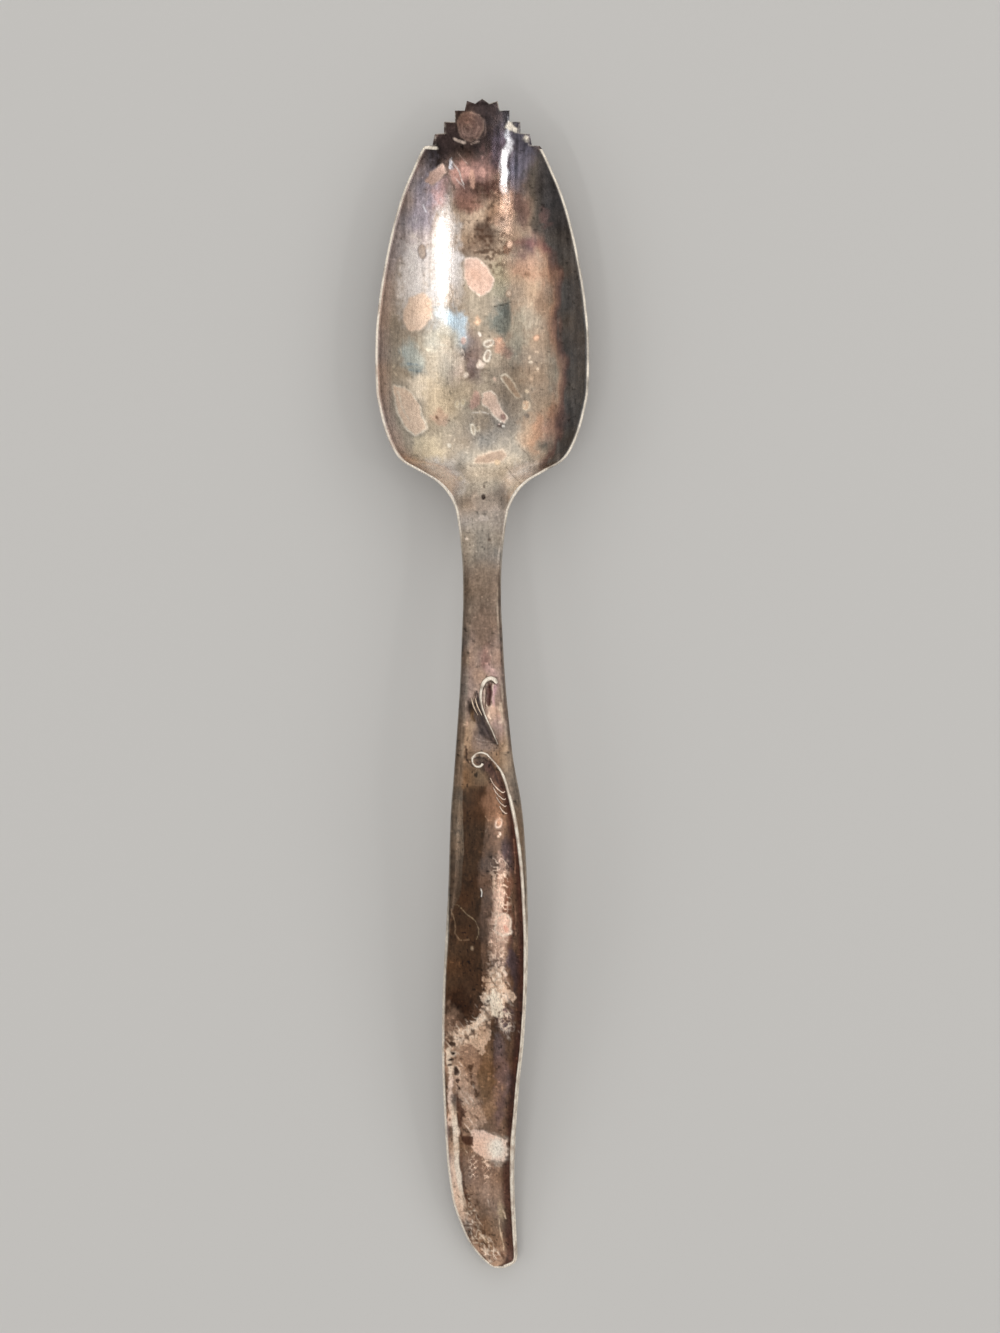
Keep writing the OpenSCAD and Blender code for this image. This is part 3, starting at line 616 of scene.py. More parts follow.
def rubbed_rim(coat, polish, s, x, distance, width, strength):
    """Coat and polish with the edge rubbed to bare silver over a width, less in some places than others."""
    amount = strength * fade(distance, width * 0.7, width * 1.25)
    amount = amount * np.clip(0.85 + 0.5 * cloud(s, x, 0.8, 15, 2.0), 0.25, 1)
    return mixed(coat, bright_silver, amount), np.maximum(polish, amount)


def skin(name, above, below, paint, node):
    """Closed mesh between two grids, each given as its points in the spoon's millimetres, its tones and its
    polish. The lower one may have fewer columns. The first and the last row only give their neighbours a
    slope. Normals are the cross products of the differences along and round the rings, so that regions meet
    without a seam. The two ends are closed with flat strips."""
    ring, tones, polish = (np.concatenate([a, b[:, ::-1]], axis=1) for a, b in zip(above, below))
    core = ring[1:-1]
    count, width = core.shape[:2]
    upper_w, lower_w = above[0].shape[1], below[0].shape[1]
    around = np.roll(core, -1, axis=1) - np.roll(core, 1, axis=1)
    normals = np.cross(ring[2:] - ring[:-2], around).reshape(-1, 3)
    normals /= np.maximum(np.linalg.norm(normals, axis=1, keepdims=True), 1e-12)
    index = np.arange(count * width).reshape(count, width)
    beside = np.roll(index, -1, axis=1)
    sides = np.stack([index[:-1], index[1:], beside[1:], beside[:-1]], axis=-1).reshape(-1, 4)
    points = core.reshape(-1, 3)
    share = (upper_w - 1) // (lower_w - 1)
    faces_list, corner_normals = sides.tolist(), [normals[sides].reshape(-1, 3)]
    for row, order in ((index[0], 1), (index[-1], -1)):
        top_row, low_row = row[:upper_w], row[upper_w:][::-1]
        for j in range(lower_w - 1):
            face = [*top_row[j * share:(j + 1) * share + 1], low_row[j + 1], low_row[j]][::order]
            a, b, c, d = points[face[0]], points[face[share]], points[face[-2]], points[face[-1]]
            flat = np.cross(c - a, d - b)
            flat /= max(np.linalg.norm(flat), 1e-12)
            faces_list.append([int(v) for v in face])
            corner_normals.append(np.repeat(flat[None], len(face), axis=0))

    mesh = bpy.data.meshes.new(name)
    mesh.from_pydata((points * mm).tolist(), [], faces_list)
    mesh.polygons.foreach_set("use_smooth", np.ones(len(faces_list), bool))
    mesh.attributes.new("tarnish", "FLOAT_COLOR", "POINT").data.foreach_set(
        "color", np.concatenate([tones[1:-1].reshape(-1, 3), np.ones((count * width, 1))], axis=1).ravel())
    mesh.attributes.new("polish", "FLOAT", "POINT").data.foreach_set("value", polish[1:-1].ravel())
    mesh.normals_split_custom_set(np.concatenate(corner_normals).tolist())
    mesh.materials.append(paint)
    piece = bpy.data.objects.new(name, mesh)
    bpy.context.scene.collection.objects.link(piece)
    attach(piece, "root")
    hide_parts(node)
    return piece


def grid(s, x, z):
    """Points of a grid in the spoon's millimetres."""
    return np.stack([x, half_l / mm - s, z], axis=-1)


crease_limit_share = 0.6
rounding_shares = np.array([0, 0.03, 0.08, 0.15, 0.24, 0.36, 0.52, 0.75])


def places_across(s, steps):
    """Places across the spoon at each s: close together at both edges, and even between the creases."""
    left, right = left_edge(s)[:, None], right_edge(s)[:, None]
    limit = (crease_limit_share * half_width(s))[:, None]
    a = np.minimum(inset(s, left_creases)[:, None], limit)
    b = np.minimum(inset(s, right_creases)[:, None], limit)
    even = np.linspace(0, 1, steps + 1)
    return np.concatenate([left + a * rounding_shares, left + a + (right - b - left - a) * even,
                           right - b * rounding_shares[::-1]], axis=1)


half_columns = np.s_[:, ::2]


def region(name, row_s, steps, coat_of, paint, node):
    """Region of the blank over rows across it, whose upper coat comes from a function of place and distance
    from the edge. The lower face has half as many columns."""
    at_s = np.minimum(row_s, end_s)
    x = places_across(at_s, steps)
    s = np.broadcast_to(at_s[:, None], x.shape)
    real_s = np.broadcast_to(row_s[:, None], x.shape)
    distance = edge_distance(s, x)
    above, below = faces(s, x, distance)
    half_places = [values[half_columns] for values in (s, x, distance)]
    skin(name, (grid(real_s, x, above), *coat_of(s, x, distance)),
         (grid(real_s, x, below)[half_columns], *below_coat(*half_places)), paint, node)


def rows_between(start, end, length):
    """Rows from one place to another, about a length apart, with one more row beyond each end."""
    count = math.ceil((end - start) / length)
    return start + (end - start) * np.arange(-1, count + 2) / count


def plate(name, film, roughness, polished_roughness, grain_amount, scratch_h, polished_film=0.45):
    """Silver plate. The tarnish attribute is its colour, and where the polish attribute is 1 it is bare and
    smooth. Fine grain and pits vary the colour, and fine scratches along the spoon vary roughness and
    height."""
    paint = bpy.data.materials.new(name)
    paint.use_nodes = True
    tree = paint.node_tree
    shader = tree.nodes["Principled BSDF"]

    def node(kind, output, inputs=(), **settings):
        """Output of a new shader node, whose inputs are linked to outputs or set to values."""
        made = tree.nodes.new(kind)
        for key, value in settings.items():
            setattr(made, key, value)
        for socket, value in dict(inputs).items():
            if isinstance(value, bpy.types.NodeSocket):
                tree.links.new(value, made.inputs[socket])
            else:
                made.inputs[socket].default_value = value
        return made.outputs[output]

    def ranged(value, low, high, from_low=0.3, from_high=0.7):
        """Value carried from one range to another. A noise is mostly between 0.3 and 0.7."""
        return node("ShaderNodeMapRange", 0, {"Value": value, "From Min": from_low, "From Max": from_high,
                                              "To Min": low, "To Max": high})

    def product(a, b):
        """One value times another."""
        return node("ShaderNodeMath", 0, {0: a, 1: b}, operation="MULTIPLY")

    place = node("ShaderNodeTexCoord", "Object")
    tarnish = node("ShaderNodeAttribute", "Color", attribute_name="tarnish")
    polish = node("ShaderNodeAttribute", "Fac", attribute_name="polish")
    grain = node("ShaderNodeTexNoise", "Fac", {"Vector": place, "Scale": 3400.0, "Detail": 3.0})
    drawn = node("ShaderNodeMapping", "Vector", {"Vector": place, "Scale": (8000.0, 420.0, 8000.0)})
    scratches = node("ShaderNodeTexNoise", "Fac", {"Vector": drawn, "Scale": 1.0, "Detail": 2.0})
    pits = node("ShaderNodeTexNoise", "Fac", {"Vector": place, "Scale": 4300.0, "Detail": 1.0})

    pitted = product(ranged(grain, 1 - grain_amount, 1 + grain_amount), ranged(pits, 1.0, 0.6, 0.68, 0.8))
    shade = product(pitted, ranged(scratches, 0.88, 1.12))
    colour = node("ShaderNodeVectorMath", 0, {0: tarnish, "Scale": shade}, operation="SCALE")
    metal = ranged(polish, film, polished_film, 0, 1)
    rough = product(ranged(polish, roughness, polished_roughness, 0, 1), ranged(scratches, 0.85, 1.2))
    relief = node("ShaderNodeMath", 0, {0: grain, 1: 0.8, 2: scratches}, operation="MULTIPLY_ADD")
    bump = node("ShaderNodeBump", "Normal", {"Height": relief, "Strength": 1.0, "Distance": scratch_h * mm})
    looks = {"Base Color": colour, "Metallic": metal, "Roughness": rough, "Normal": bump}
    for socket, value in looks.items():
        tree.links.new(value, shader.inputs[socket])
    return paint


throat_washes = [
    wash((48.8, 0), (3.8, 5.2), (188, 175, 157), 0.85),
    wash((47.4, -3.4), (1.8, 1.6), (160, 152, 142), 0.6),
    wash((48.4, 3.5), (1.9, 1.6), (216, 196, 170), 0.75),
    wash((52.2, 0.3), (1.5, 2.6), (138, 120, 106), 0.75),
    # Painted reflection: near white on both steep sides of the throat.
    wash((49.5, -7), (2.9, 3.2), (234, 226, 218), 0.95, 0, 0.4),
    wash((49.8, -4.9), (2.8, 2.1), (226, 216, 206), 0.92, 0, 0.4),
    wash((50.2, 5.2), (2.6, 2.4), (218, 208, 198), 0.92, 0, 0.5),
    wash((55, 0.6), (1.4, 2.4), (148, 132, 120), 0.6),
    wash((58, -0.4), (2.6, 2), (150, 140, 126), 0.6),
]
bowl_washes = [
    # The front of the bowl and its left shoulder: dark tarnish with painted shade, the dark that they
    # reflect.
    wash((2, 0), (4.6, 8.5), (56, 45, 43), 0.95, 0, 0.3),
    wash((3.4, 3.6), (2.6, 2.4), (52, 49, 52), 0.85),
    wash((5.6, -5.4), (2.4, 1.6), (58, 47, 46), 0.95),
    wash((7.4, -7.1), (3, 1.7), (34, 25, 22), 0.98, 38, 0.4),
    wash((8.2, 4.8), (4.8, 1.8), (90, 86, 96), 0.85),
    wash((6.2, 1.9), (2, 1.3), (76, 66, 74), 0.9),
    wash((8.6, -0.2), (1.8, 1.9), (150, 112, 102), 0.75),
    # Painted highlight: the narrow streak of lamp light on the right of the front, and its faint tail.
    wash((8.4, 3), (4.2, 0.5), (250, 248, 252), 0.95, 2, 0.5),
    wash((13.6, 3.1), (2.6, 0.35), (236, 214, 200), 0.8, 2),
    wash((9.8, -2.3), (1.9, 1.6), (204, 156, 142), 0.9, 0, 0.5),
    wash((11.3, 0.5), (1.5, 2.7), (80, 54, 46), 0.95, 0, 0.5),
    wash((12.2, -5.9), (1.6, 1.4), (188, 150, 146), 0.85),
    wash((15, -0.6), (2.8, 3.8), (180, 156, 134), 0.85),
    wash((14.2, 1.4), (1.7, 1.4), (128, 98, 77), 0.85),
    wash((12.4, -1.8), (1.2, 1.3), (130, 92, 80), 0.85),
    wash((16.6, 0.1), (1.6, 1.5), (68, 52, 43), 0.92, 0, 0.7),
    wash((18.6, -0.9), (2.2, 1.5), (98, 80, 68), 0.7, 0, 0.9),
    wash((14.4, 3.3), (2.8, 1.3), (186, 150, 128), 0.75),
    wash((10.6, -8.3), (3.6, 1.1), (78, 66, 68), 0.9, -16),
    wash((14.8, -9.3), (3.6, 0.8), (108, 96, 100), 0.8, -14),
    wash((16.4, -8.3), (6.6, 1.8), (164, 154, 162), 0.9, -8),
    wash((22.2, -9.1), (4.4, 2.3), (255, 242, 232), 0.97, -8),
    wash((20.6, -5.2), (6.8, 1.7), (214, 208, 204), 0.85, -6, 0.5),
    # Painted highlight: the bright grainy edge on the right of the lamp's reflection on the left wall.
    wash((21.2, -3.2), (3.4, 0.9), (246, 238, 234), 0.9),
    wash((24.6, 5.4), (7.4, 3.2), (186, 162, 140), 0.9, 0, 0.5),
    wash((20.6, 6), (1.8, 2), (190, 150, 128), 0.75),
    wash((25.6, 8.3), (4.6, 1.1), (146, 118, 98), 0.75),
    wash((18, 6), (1.2, 2.4), (104, 78, 78), 0.85, 12, 0.8),
    # Painted shade on the right wall, the dark that it reflects.
    wash((11.6, 7.6), (3.6, 1.5), (62, 58, 54), 0.9, 20),
    wash((14.2, 5.6), (2.4, 0.8), (148, 122, 106), 0.8, 8),
    wash((24.8, 0.2), (4.2, 2.8), (156, 145, 129)),
    wash((22.8, 2.2), (2.2, 1), (150, 142, 120), 0.7),
    wash((27.4, 2.5), (2.2, 1.3), (102, 106, 100), 0.9, 0, 0.4),
    wash((29, 5.4), (2.8, 1.8), (184, 176, 158), 0.75),
    wash((31.4, 4.6), (1.4, 1.6), (150, 146, 132), 0.6),
    wash((27.6, -4.9), (1.7, 1.1), (208, 212, 206), 0.7, 15, 0.8),
    wash((28.8, -3.8), (2.5, 1.5), (190, 209, 222), 0.9, 30, 0.7),
    wash((30.6, -5.4), (1.2, 2.4), (200, 190, 168), 0.7),
    wash((33.3, -1.3), (2.7, 1.6), (108, 94, 91), 0.95, -10),
    wash((34.8, -3.6), (2, 1), (214, 194, 178), 0.85),
    wash((32.2, -4.3), (1.6, 1.1), (226, 210, 190), 0.85),
    wash((30.6, -1), (1.8, 1.2), (136, 116, 106), 0.7),
    wash((33, -9), (2.4, 1.3), (176, 180, 172), 0.9, 0, 0.5),
    wash((34.9, -8.3), (0.9, 1), (126, 136, 138), 0.75),
    wash((36.8, -8.6), (1.3, 1.6), (240, 224, 202), 0.9),
    wash((33.8, -6.2), (4.4, 1.8), (186, 176, 160), 0.85),
    wash((38.8, -5.4), (3.4, 2.2), (184, 168, 144), 0.85),
    wash((38, -2.8), (2.2, 1.4), (176, 162, 142), 0.7),
    wash((44.2, -6.2), (3.4, 2.6), (158, 146, 128), 0.85),
    wash((45.8, -6.8), (1.9, 2.1), (226, 208, 178), 0.9),
    wash((36.4, 3.6), (3.2, 2.2), (142, 126, 110)),
    wash((40.6, 2.6), (3.4, 3), (138, 127, 116)),
    wash((43.6, -0.4), (2.6, 2.6), (134, 126, 117), 0.85),
    wash((33.4, 7.2), (5.2, 2), (156, 134, 114), 0.85),
    wash((38.4, 7.6), (3, 1.5), (172, 148, 126), 0.7),
    wash((42.6, 8), (3.4, 1.1), (196, 152, 124), 0.85, -22),
    wash((43.4, 6.2), (2.4, 1.1), (186, 156, 130), 0.7),
    wash((41.6, 9.8), (2.8, 0.8), (178, 142, 124), 0.8, -20),
    wash((45.4, 9), (1.8, 0.9), (104, 98, 90), 0.75, -28),
    wash((13.4, 5.1), (2, 1), (92, 70, 66), 0.75, 20),
    # Painted shade on the right wall, the dark that it reflects.
    wash((16.2, 7.5), (1.6, 0.9), (62, 56, 52), 0.75, 20),
]
bowl_spots = [
    spot(disc((3.4, -1.5), (1.7, 1.6)), (112, 88, 80), 0.85, 0.22, 0.1, (156, 130, 116), 0.6),
    spot(disc((3.5, -1.6), (1.1, 1)), (104, 80, 72), 0.4, line=(150, 122, 110), line_strength=0.7),
    spot(disc((3.7, -1.8), (0.5, 0.45)), (104, 80, 72), 0.4, line=(150, 124, 110), line_strength=0.5),
    spot(streak([(2.6, 0.2), (3.6, 0.5), (4.6, 0.2), (5.2, -0.8)], 0.05), (140, 118, 110), 0.6, 0.12),
    spot(streak([(5, -3.6), (5.35, -2.9), (5.4, -2.2)], 0.12), (216, 196, 182), 0.85, 0.12, 0.12),
    spot(streak([(5.5, -1.4), (5.3, -0.4)], 0.06), (190, 166, 152), 0.7),
    spot(streak([(6.2, -1.8), (7, -0.8), (6.8, 0.6)], 0.06), (124, 100, 92), 0.5, 0.15),
    spot(patch([(8.4, -5.1), (9.1, -4.9), (10.7, -6.6), (10.4, -7.3), (9.4, -6.6)], 0.15), (176, 146, 132),
         0.95, 0.08, 0.04, (204, 176, 160), 0.5),
    spot(disc((9, 0), (0.55, 0.5)), (196, 150, 136), 0.7, 0.2, 0.12),
    spot(disc((9.8, -1.3), (1.3, 0.35), 10), (204, 160, 138), 0.7, 0.15, 0.12),
    spot(disc((19.3, -7.9), (0.9, 0.5)), (172, 152, 136), 0.85, 0.12, 0.05, (100, 86, 82), 0.8),
    spot(disc((18.5, 3.4), (0.75, 0.6)), (104, 72, 56), 0.75, 0.25, 0.2),
    spot(disc((18.1, 3.6), (0.4, 0.36)), (230, 194, 170), 0.95),
    spot(disc((16.3, 3.4), (0.4, 0.3)), (214, 180, 156), 0.7, 0.15, 0.1),
    spot(disc((24.4, 3.5), (0.36, 0.32)), (226, 200, 176), 0.9, line=(150, 120, 96)),
    spot(disc((22, 5.9), (0.35, 0.4)), (140, 108, 88), 0.6, 0.2, 0.1),
    spot(disc((25.8, 6.4), (0.2, 0.18)), (208, 186, 160), 0.8),
    spot(patch([(20.2, -1.9), (20.1, -0.9), (21, 0.2), (22.6, 1.1), (23.7, 0.6), (24.2, -0.5), (23, -1.7),
         (21.6, -2.1)], 0.35), (208, 176, 159), 0.95, 0.08, 0.05, (250, 226, 208), 0.9),
    spot(disc((21.9, -0.9), (0.9, 0.6), 30), (190, 156, 138), 0.6, 0.4, 0.3),
    spot(disc((15, 8.1), (1, 0.8)), (116, 88, 82), 0.5, 0.4, 0.4),
    spot(patch([(27, -9.8), (25.7, -9.2), (24.9, -7.9), (25.6, -7.1), (27.5, -7.2), (28.9, -8.4),
         (29.2, -9.5), (28.2, -9.9)], 0.4), (224, 194, 170), 0.92, 0.1, 0.05, (238, 212, 190), 0.6),
    spot(disc((27.9, -0.7), (0.55, 0.5)), (214, 172, 140), 0.7, 0.25, 0.15),
    spot(disc((27.9, -0.7), (0.3, 0.28)), (238, 206, 176), 0.9, 0.15),
    spot(disc((31, 2.3), (1.1, 0.75), 10), (200, 158, 136), 0.75, 0.35, 0.25),
    spot(disc((31.9, 3.2), (0.9, 0.55), 30), (160, 118, 106), 0.5, 0.4, 0.25),
    spot(disc((30.4, 2.3), (0.3, 0.3)), (222, 176, 148), 0.7, line=(240, 208, 184)),
    spot(disc((30.8, 0.8), (0.42, 0.68), 30), (140, 124, 114), 0.5, line=(240, 230, 214), line_strength=1),
    spot(disc((32.5, 0.7), (0.74, 0.42), -18), (160, 144, 132), 0.6, line=(240, 230, 214),
         line_strength=0.9),
    spot(disc((29.6, -0.4), (0.36, 0.18), 20), (240, 228, 214), 0.9, 0.08, 0.05, dark_tarnish_and_shade, 0.4),
    spot(disc((30.5, -2.6), (0.4, 0.3)), (200, 160, 144), 0.7, line=(232, 204, 186)),
    spot(streak([(31.6, -2.6), (32.4, -2.5), (33, -2.8)], 0.12), (214, 198, 184), 0.8, 0.12, 0.15),
    spot(disc((33.7, -0.3), (0.5, 0.45)), (220, 204, 190), 0.8, 0.2, 0.15),
    spot(disc((35, -2.2), (0.35, 0.3)), (216, 202, 188), 0.8, 0.12, 0.12),
    spot(disc((35.6, 1.6), (0.3, 0.24)), (206, 178, 158), 0.8),
    spot(disc((30.4, 7.1), (0.34, 0.3)), (222, 182, 154), 0.9, line=(164, 124, 100)),
    spot(disc((32.9, 6.2), (0.3, 0.2)), (226, 200, 172), 0.8),
    spot(disc((33.5, 6.4), (0.2, 0.3)), (226, 206, 182), 0.8),
    spot(disc((34.5, 7.2), (0.16, 0.16)), (232, 210, 184), 0.8),
    spot(disc((37.3, 5.8), (0.3, 0.26)), (218, 196, 168), 0.8, 0.12, 0.1),
    spot(patch([(35.2, 2.5), (35, 3), (36.4, 4.3), (38, 5), (37.9, 4.5), (36.6, 3.3)], 0.12),
         (170, 146, 124), 0.85, 0.08, 0.05, (252, 236, 212), 1),
    spot(disc((38.4, -1), (1.15, 0.62), -12), (186, 150, 138), 0.75, 0.3, 0.2),
    spot(patch([(37.6, 0.2), (37.4, 1), (38.3, 1.7), (39.6, 2.2), (40.8, 3.1), (41.3, 2.7), (40.3, 1.8),
         (39.2, 0.8), (38.9, 0.3)], 0.24), (216, 188, 170), 0.95, 0.08, 0.04, (248, 232, 214), 1),
    spot(disc((40.7, 2.75), (0.3, 0.26), 20), (172, 134, 122), 0.8, line=(130, 100, 90)),
    spot(disc((38.9, -3.4), (0.4, 0.26)), (214, 194, 162), 0.7, line=(238, 226, 202)),
    spot(disc((38.8, -2.6), (0.42, 0.24)), (206, 188, 156), 0.6, line=(238, 226, 202)),
    spot(disc((39.2, 5.8), (0.55, 0.48)), (214, 182, 154), 0.9, line=(242, 222, 194), line_strength=0.8),
    spot(disc((39.2, 5.6), (0.16, 0.14)), (244, 226, 200), 0.9, 0.06),
    spot(patch([(37, -11.5), (37.3, -10.4), (38, -9.4), (39.2, -8.6), (40.4, -8.3), (42.4, -7.5),
         (43.2, -8.8), (42, -10.1), (39.6, -11.1)], 0.22), (244, 214, 188), 0.92, 0.1, 0.08, (255, 240, 218),
         1),
    spot(streak([(37.6, -11), (39.6, -10.6), (41.4, -9.6)], 0.1), (255, 236, 212), 0.8, 0.12, 0.12),
    spot(disc((40.9, -5.7), (1, 1.2)), (168, 136, 118), 0.6, 0.4, 0.3),
    spot(disc((40.9, -6), (0.24, 0.2)), (84, 60, 46)),
    spot(disc((41.2, -4.3), (0.2, 0.16)), (84, 66, 54), 0.8),
    spot(disc((42.4, -1.2), (0.68, 0.26), 15), (184, 170, 150), 0.6, line=(242, 234, 216),
         line_strength=0.9),
    spot(disc((42.2, -0.5), (0.34, 0.22)), (184, 170, 150), 0.6, line=(240, 230, 210), line_strength=0.9),
    spot(disc((41.8, 2.4), (0.45, 0.6)), (76, 60, 52), 0.85, 0.2, 0.1),
    spot(disc((41.9, 2.7), (0.22, 0.22)), (244, 234, 220), 0.95, 0.08),
    spot(disc((41.6, 2.1), (0.14, 0.14)), (236, 212, 198), 0.9, 0.08),
    spot(disc((40.6, 6), (0.4, 0.3)), (106, 98, 92), 0.7, 0.15, 0.12),
    spot(disc((43.6, 4.3), (0.22, 0.16)), (226, 208, 180), 0.8, line=(110, 92, 80)),
    spot(streak([(40.15, -1.4), (40, -0.2), (40.2, 0.9)], 0.05), (222, 214, 204), 0.8, 0.08),
    spot(patch([(46.7, -0.7), (46.1, -0.5), (45.7, 1), (45.3, 2.6), (45.9, 3), (46.7, 2), (46.8, 0.6)], 0.2),
         (182, 156, 136), 0.85, 0.1, 0.08, (244, 222, 198), 1),
    spot(disc((47, 1.9), (0.35, 0.4)), (222, 194, 160), 0.7, 0.15, 0.1),
    spot(disc((44.6, -4.4), (0.35, 0.3)), (214, 206, 190), 0.7, 0.12, 0.1),
    spot(disc((49, -2.9), (0.4, 0.3)), (232, 218, 196), 0.8, 0.12, 0.12),
    spot(streak([(44.6, 4.7), (45.6, 5.6), (46.8, 6.9)], 0.04), (92, 78, 70), 0.85, 0.07),
    spot(streak([(47.5, 3.2), (48.6, 3.9), (50, 5)], 0.05), (78, 64, 56), 0.9, 0.07),
    spot(streak([(44, 0.3), (48.6, 0.2)], 0.03), (110, 98, 88), 0.6, 0.07),
    spot(streak([(44.6, -4.6), (47, -2.2), (47.8, -0.4)], 0.03), (118, 108, 98), 0.5, 0.07),
    spot(streak([(26.1, 1.6), (25.5, 3.9)], 0.05), (62, 58, 50), 0.9, 0.07),
    spot(streak([(28.6, 6.9), (27.5, 7.6)], 0.04), (218, 196, 168), 0.8, 0.07),
    spot(streak([(7.6, -4), (8.9, -3), (10.6, -2.5)], 0.05), (226, 210, 200), 0.8, 0.08),
    spot(streak([(9.2, -4.4), (10, -3.4), (11, -2.4)], 0.05), (222, 198, 188), 0.7, 0.08),
    spot(streak([(6.6, -3.2), (8, -2)], 0.04), (180, 156, 146), 0.6, 0.08),
    spot(disc((8.1, -4.1), (0.5, 0.3)), (206, 204, 208), 0.8, 0.12, 0.2),
    spot(streak([(13.4, -7.6), (14.2, -7.4)], 0.06), (220, 216, 220), 0.7, 0.1, 0.1),
    spot(disc((51.6, 0.1), (0.42, 0.24), 20), (56, 44, 38), 0.95, 0.12, 0.1),
    spot(streak([(17.9, 4), (17.9, 6.2), (19, 8.4)], 0.2), (120, 78, 76), 0.5, 0.5, 0.3),
    spot(streak([(31, -7), (31.3, -4.6)], 0.07), (246, 238, 218), 0.75, 0.12, 0.12),
    spot(streak([(31.9, -7.4), (32, -4.2)], 0.07), (244, 234, 212), 0.7, 0.12, 0.12),
    spot(streak([(32.7, -6.9), (32.6, -5)], 0.05), (240, 228, 204), 0.65, 0.12, 0.12),
    spot(streak([(34, -9.8), (34.1, -8)], 0.06), (124, 140, 148), 0.65, 0.12, 0.1),
    spot(streak([(34.8, -9.6), (34.9, -8.2)], 0.06), (124, 140, 148), 0.65, 0.12, 0.1),
    spot(streak([(30.3, -10.4), (31.4, -11.1), (32.4, -10.7), (33.4, -10.9), (34.6, -11.6)], 0.05),
         (214, 200, 176), 0.75, 0.1, 0.1),
    spot(disc((50.2, 0.2), (0.18, 0.18)), (80, 64, 54), 0.8),
]
# Line beyond which the right wall of the bowl is darkened: painted shade, the dark that this wall reflects.
dark_side = [(3, 6.4), (8, 6.6), (12, 6.8), (15, 7.0), (18, 7.6), (20, 8.8), (25, 9.5), (30, 9.8),
             (35.5, 10.2), (39, 10.2), (42, 9.7), (45, 8.9), (47, 8.0), (50, 7.0)]


def side_bands(coat, s, x):
    """Coat darkened on both sides of the bowl: towards the right wall it turns rusty and then dark, in
    rust-coloured tarnish and painted shade, and beside the left rim runs a thin mauve band. Both are
    streaked along the spoon."""
    streaks = cloud(s, x, 0.3, 61, 14) + 0.6 * cloud(s, x, 0.7, 62, 8)
    beyond = (x - curve(dark_side, s) + 0.7 * cloud(s, x, 3.2, 63) + 0.4 * cloud(s, x, 1.0, 65, 1.6)
              + 0.25 * streaks)
    reach, rust = after(s, 5, 9) * fade(s, 47, 50), after(s, 16, 19)
    coat = mixed(coat, tone(168, 124, 100), 0.6 * reach * rust * fade(s, 42, 47) * after(beyond, -1.4, -0.3))
    rusty_shade = mixed(tone(84, 78, 72), tone(98, 73, 68), rust)
    wall_shade = mixed(tone(64, 59, 57), tone(83, 79, 75), rust)
    # Rust-coloured tarnish, then painted shade towards the right wall.
    coat = mixed(coat, rusty_shade, 0.85 * reach * after(beyond, -0.7, 0.5))
    coat = mixed(coat, wall_shade * (1 + 0.3 * streaks)[..., None], 0.95 * reach * after(beyond, 0.2, 1.2))
    inside = x - left_edge(s) + 0.3 * cloud(s, x, 1.8, 64) + 0.15 * streaks
    mauve = mixed(tone(158, 144, 140), tone(184, 160, 146), after(s, 20, 28))
    coat = mixed(coat, mauve, 0.8 * fade(s, 44, 50) * after(s, 6, 12) * fade(inside, 1.0, 2.4))
    return mixed(coat, tone(112, 94, 88), 0.5 * fade(s, 47, 52) * after(s, 3, 6) * fade(inside, 0.4, 1.3))


def brushed(coat, s, x):
    """Coat with strokes along the spoon, strongest beside the painted highlight at the front of the bowl."""
    strokes = cloud(s, x, 0.24, 66, 18) + 0.7 * cloud(s, x, 0.5, 67, 12)
    amount = (0.1 + 0.5 * fade(np.hypot((s - 7.5) / 1.6, x - 3.6), 1.5, 4.0)
              + 0.16 * fade(np.hypot((s - 14) / 2.5, x + 8), 1.5, 3.5))
    coat = coat * np.maximum(0.2, 1 + amount * strokes)[..., None]
    specks = fade(cloud(s, x, 0.36, 68, 0.8) + 0.6 * cloud(s, x, 0.9, 69), -0.65, 0.1)
    field = (fade(np.hypot((s - 16.5) / 1.9, x - 0.6), 1.5, 4.8)
             + 0.45 * fade(np.hypot(s - 34, x + 1.4), 1.5, 4))
    return mixed(coat, tone(66, 46, 34), 0.75 * specks * field)


def inside_coat(s, x, washes, mottle):
    """Coat inside the bowl: ground, washes, dark sides, strokes, spots and as much mottle as said."""
    coat = brushed(side_bands(washed(ground(s), s, x, washes), s, x), s, x)
    return mottled(spotted(coat, s, x, bowl_spots), s, x, mottle)


def bowl_coat(s, x, distance):
    """Coat and polish of the bowl's upper face."""
    coat = inside_coat(s, x, bowl_washes + throat_washes, 0.17)
    return rubbed_rim(coat, 0, s, x, distance, rim_line_w, 0.95)


region("bowl_shell", rows_between(tip_end_s, throat_s, bowl_row_l), bowl_steps, bowl_coat,
       plate("bowl_silver", 0.88, 0.24, 0.28, 0.16, 0.007, 0.25), "bowl")

# Serrated tip
# The front of the bowl, with nine pointed teeth cut into its edge, which loosen the fruit. It is nearly
# black, with dark tarnish and painted shade, and the teeth on the right are rubbed to bare metal.
teeth = 9
tooth_pitch = 2.0
notch_depth = 1.0
notch_shares = (0.5, 0.78, 1.0)
flank_steps = 8
lean_share = 0.22
tip_round = 0.09
fine_count, base_step = 6000, 0.012
near_l, shortest_line, slope_l = 0.5, 0.6, 0.15
near_shares, far_rows = np.array([0, 0.02, 0.05, 0.09, 0.14, 0.2]) / 0.27, 36
worn_teeth = [((3.4, 3.6), 0.5), ((3.9, 4.3), 0.35), ((5.1, 5.75), 0.35)]
worn_shoulder = [(6.7, -8.1), (6.3, -7.6), (6.25, -6.0)]


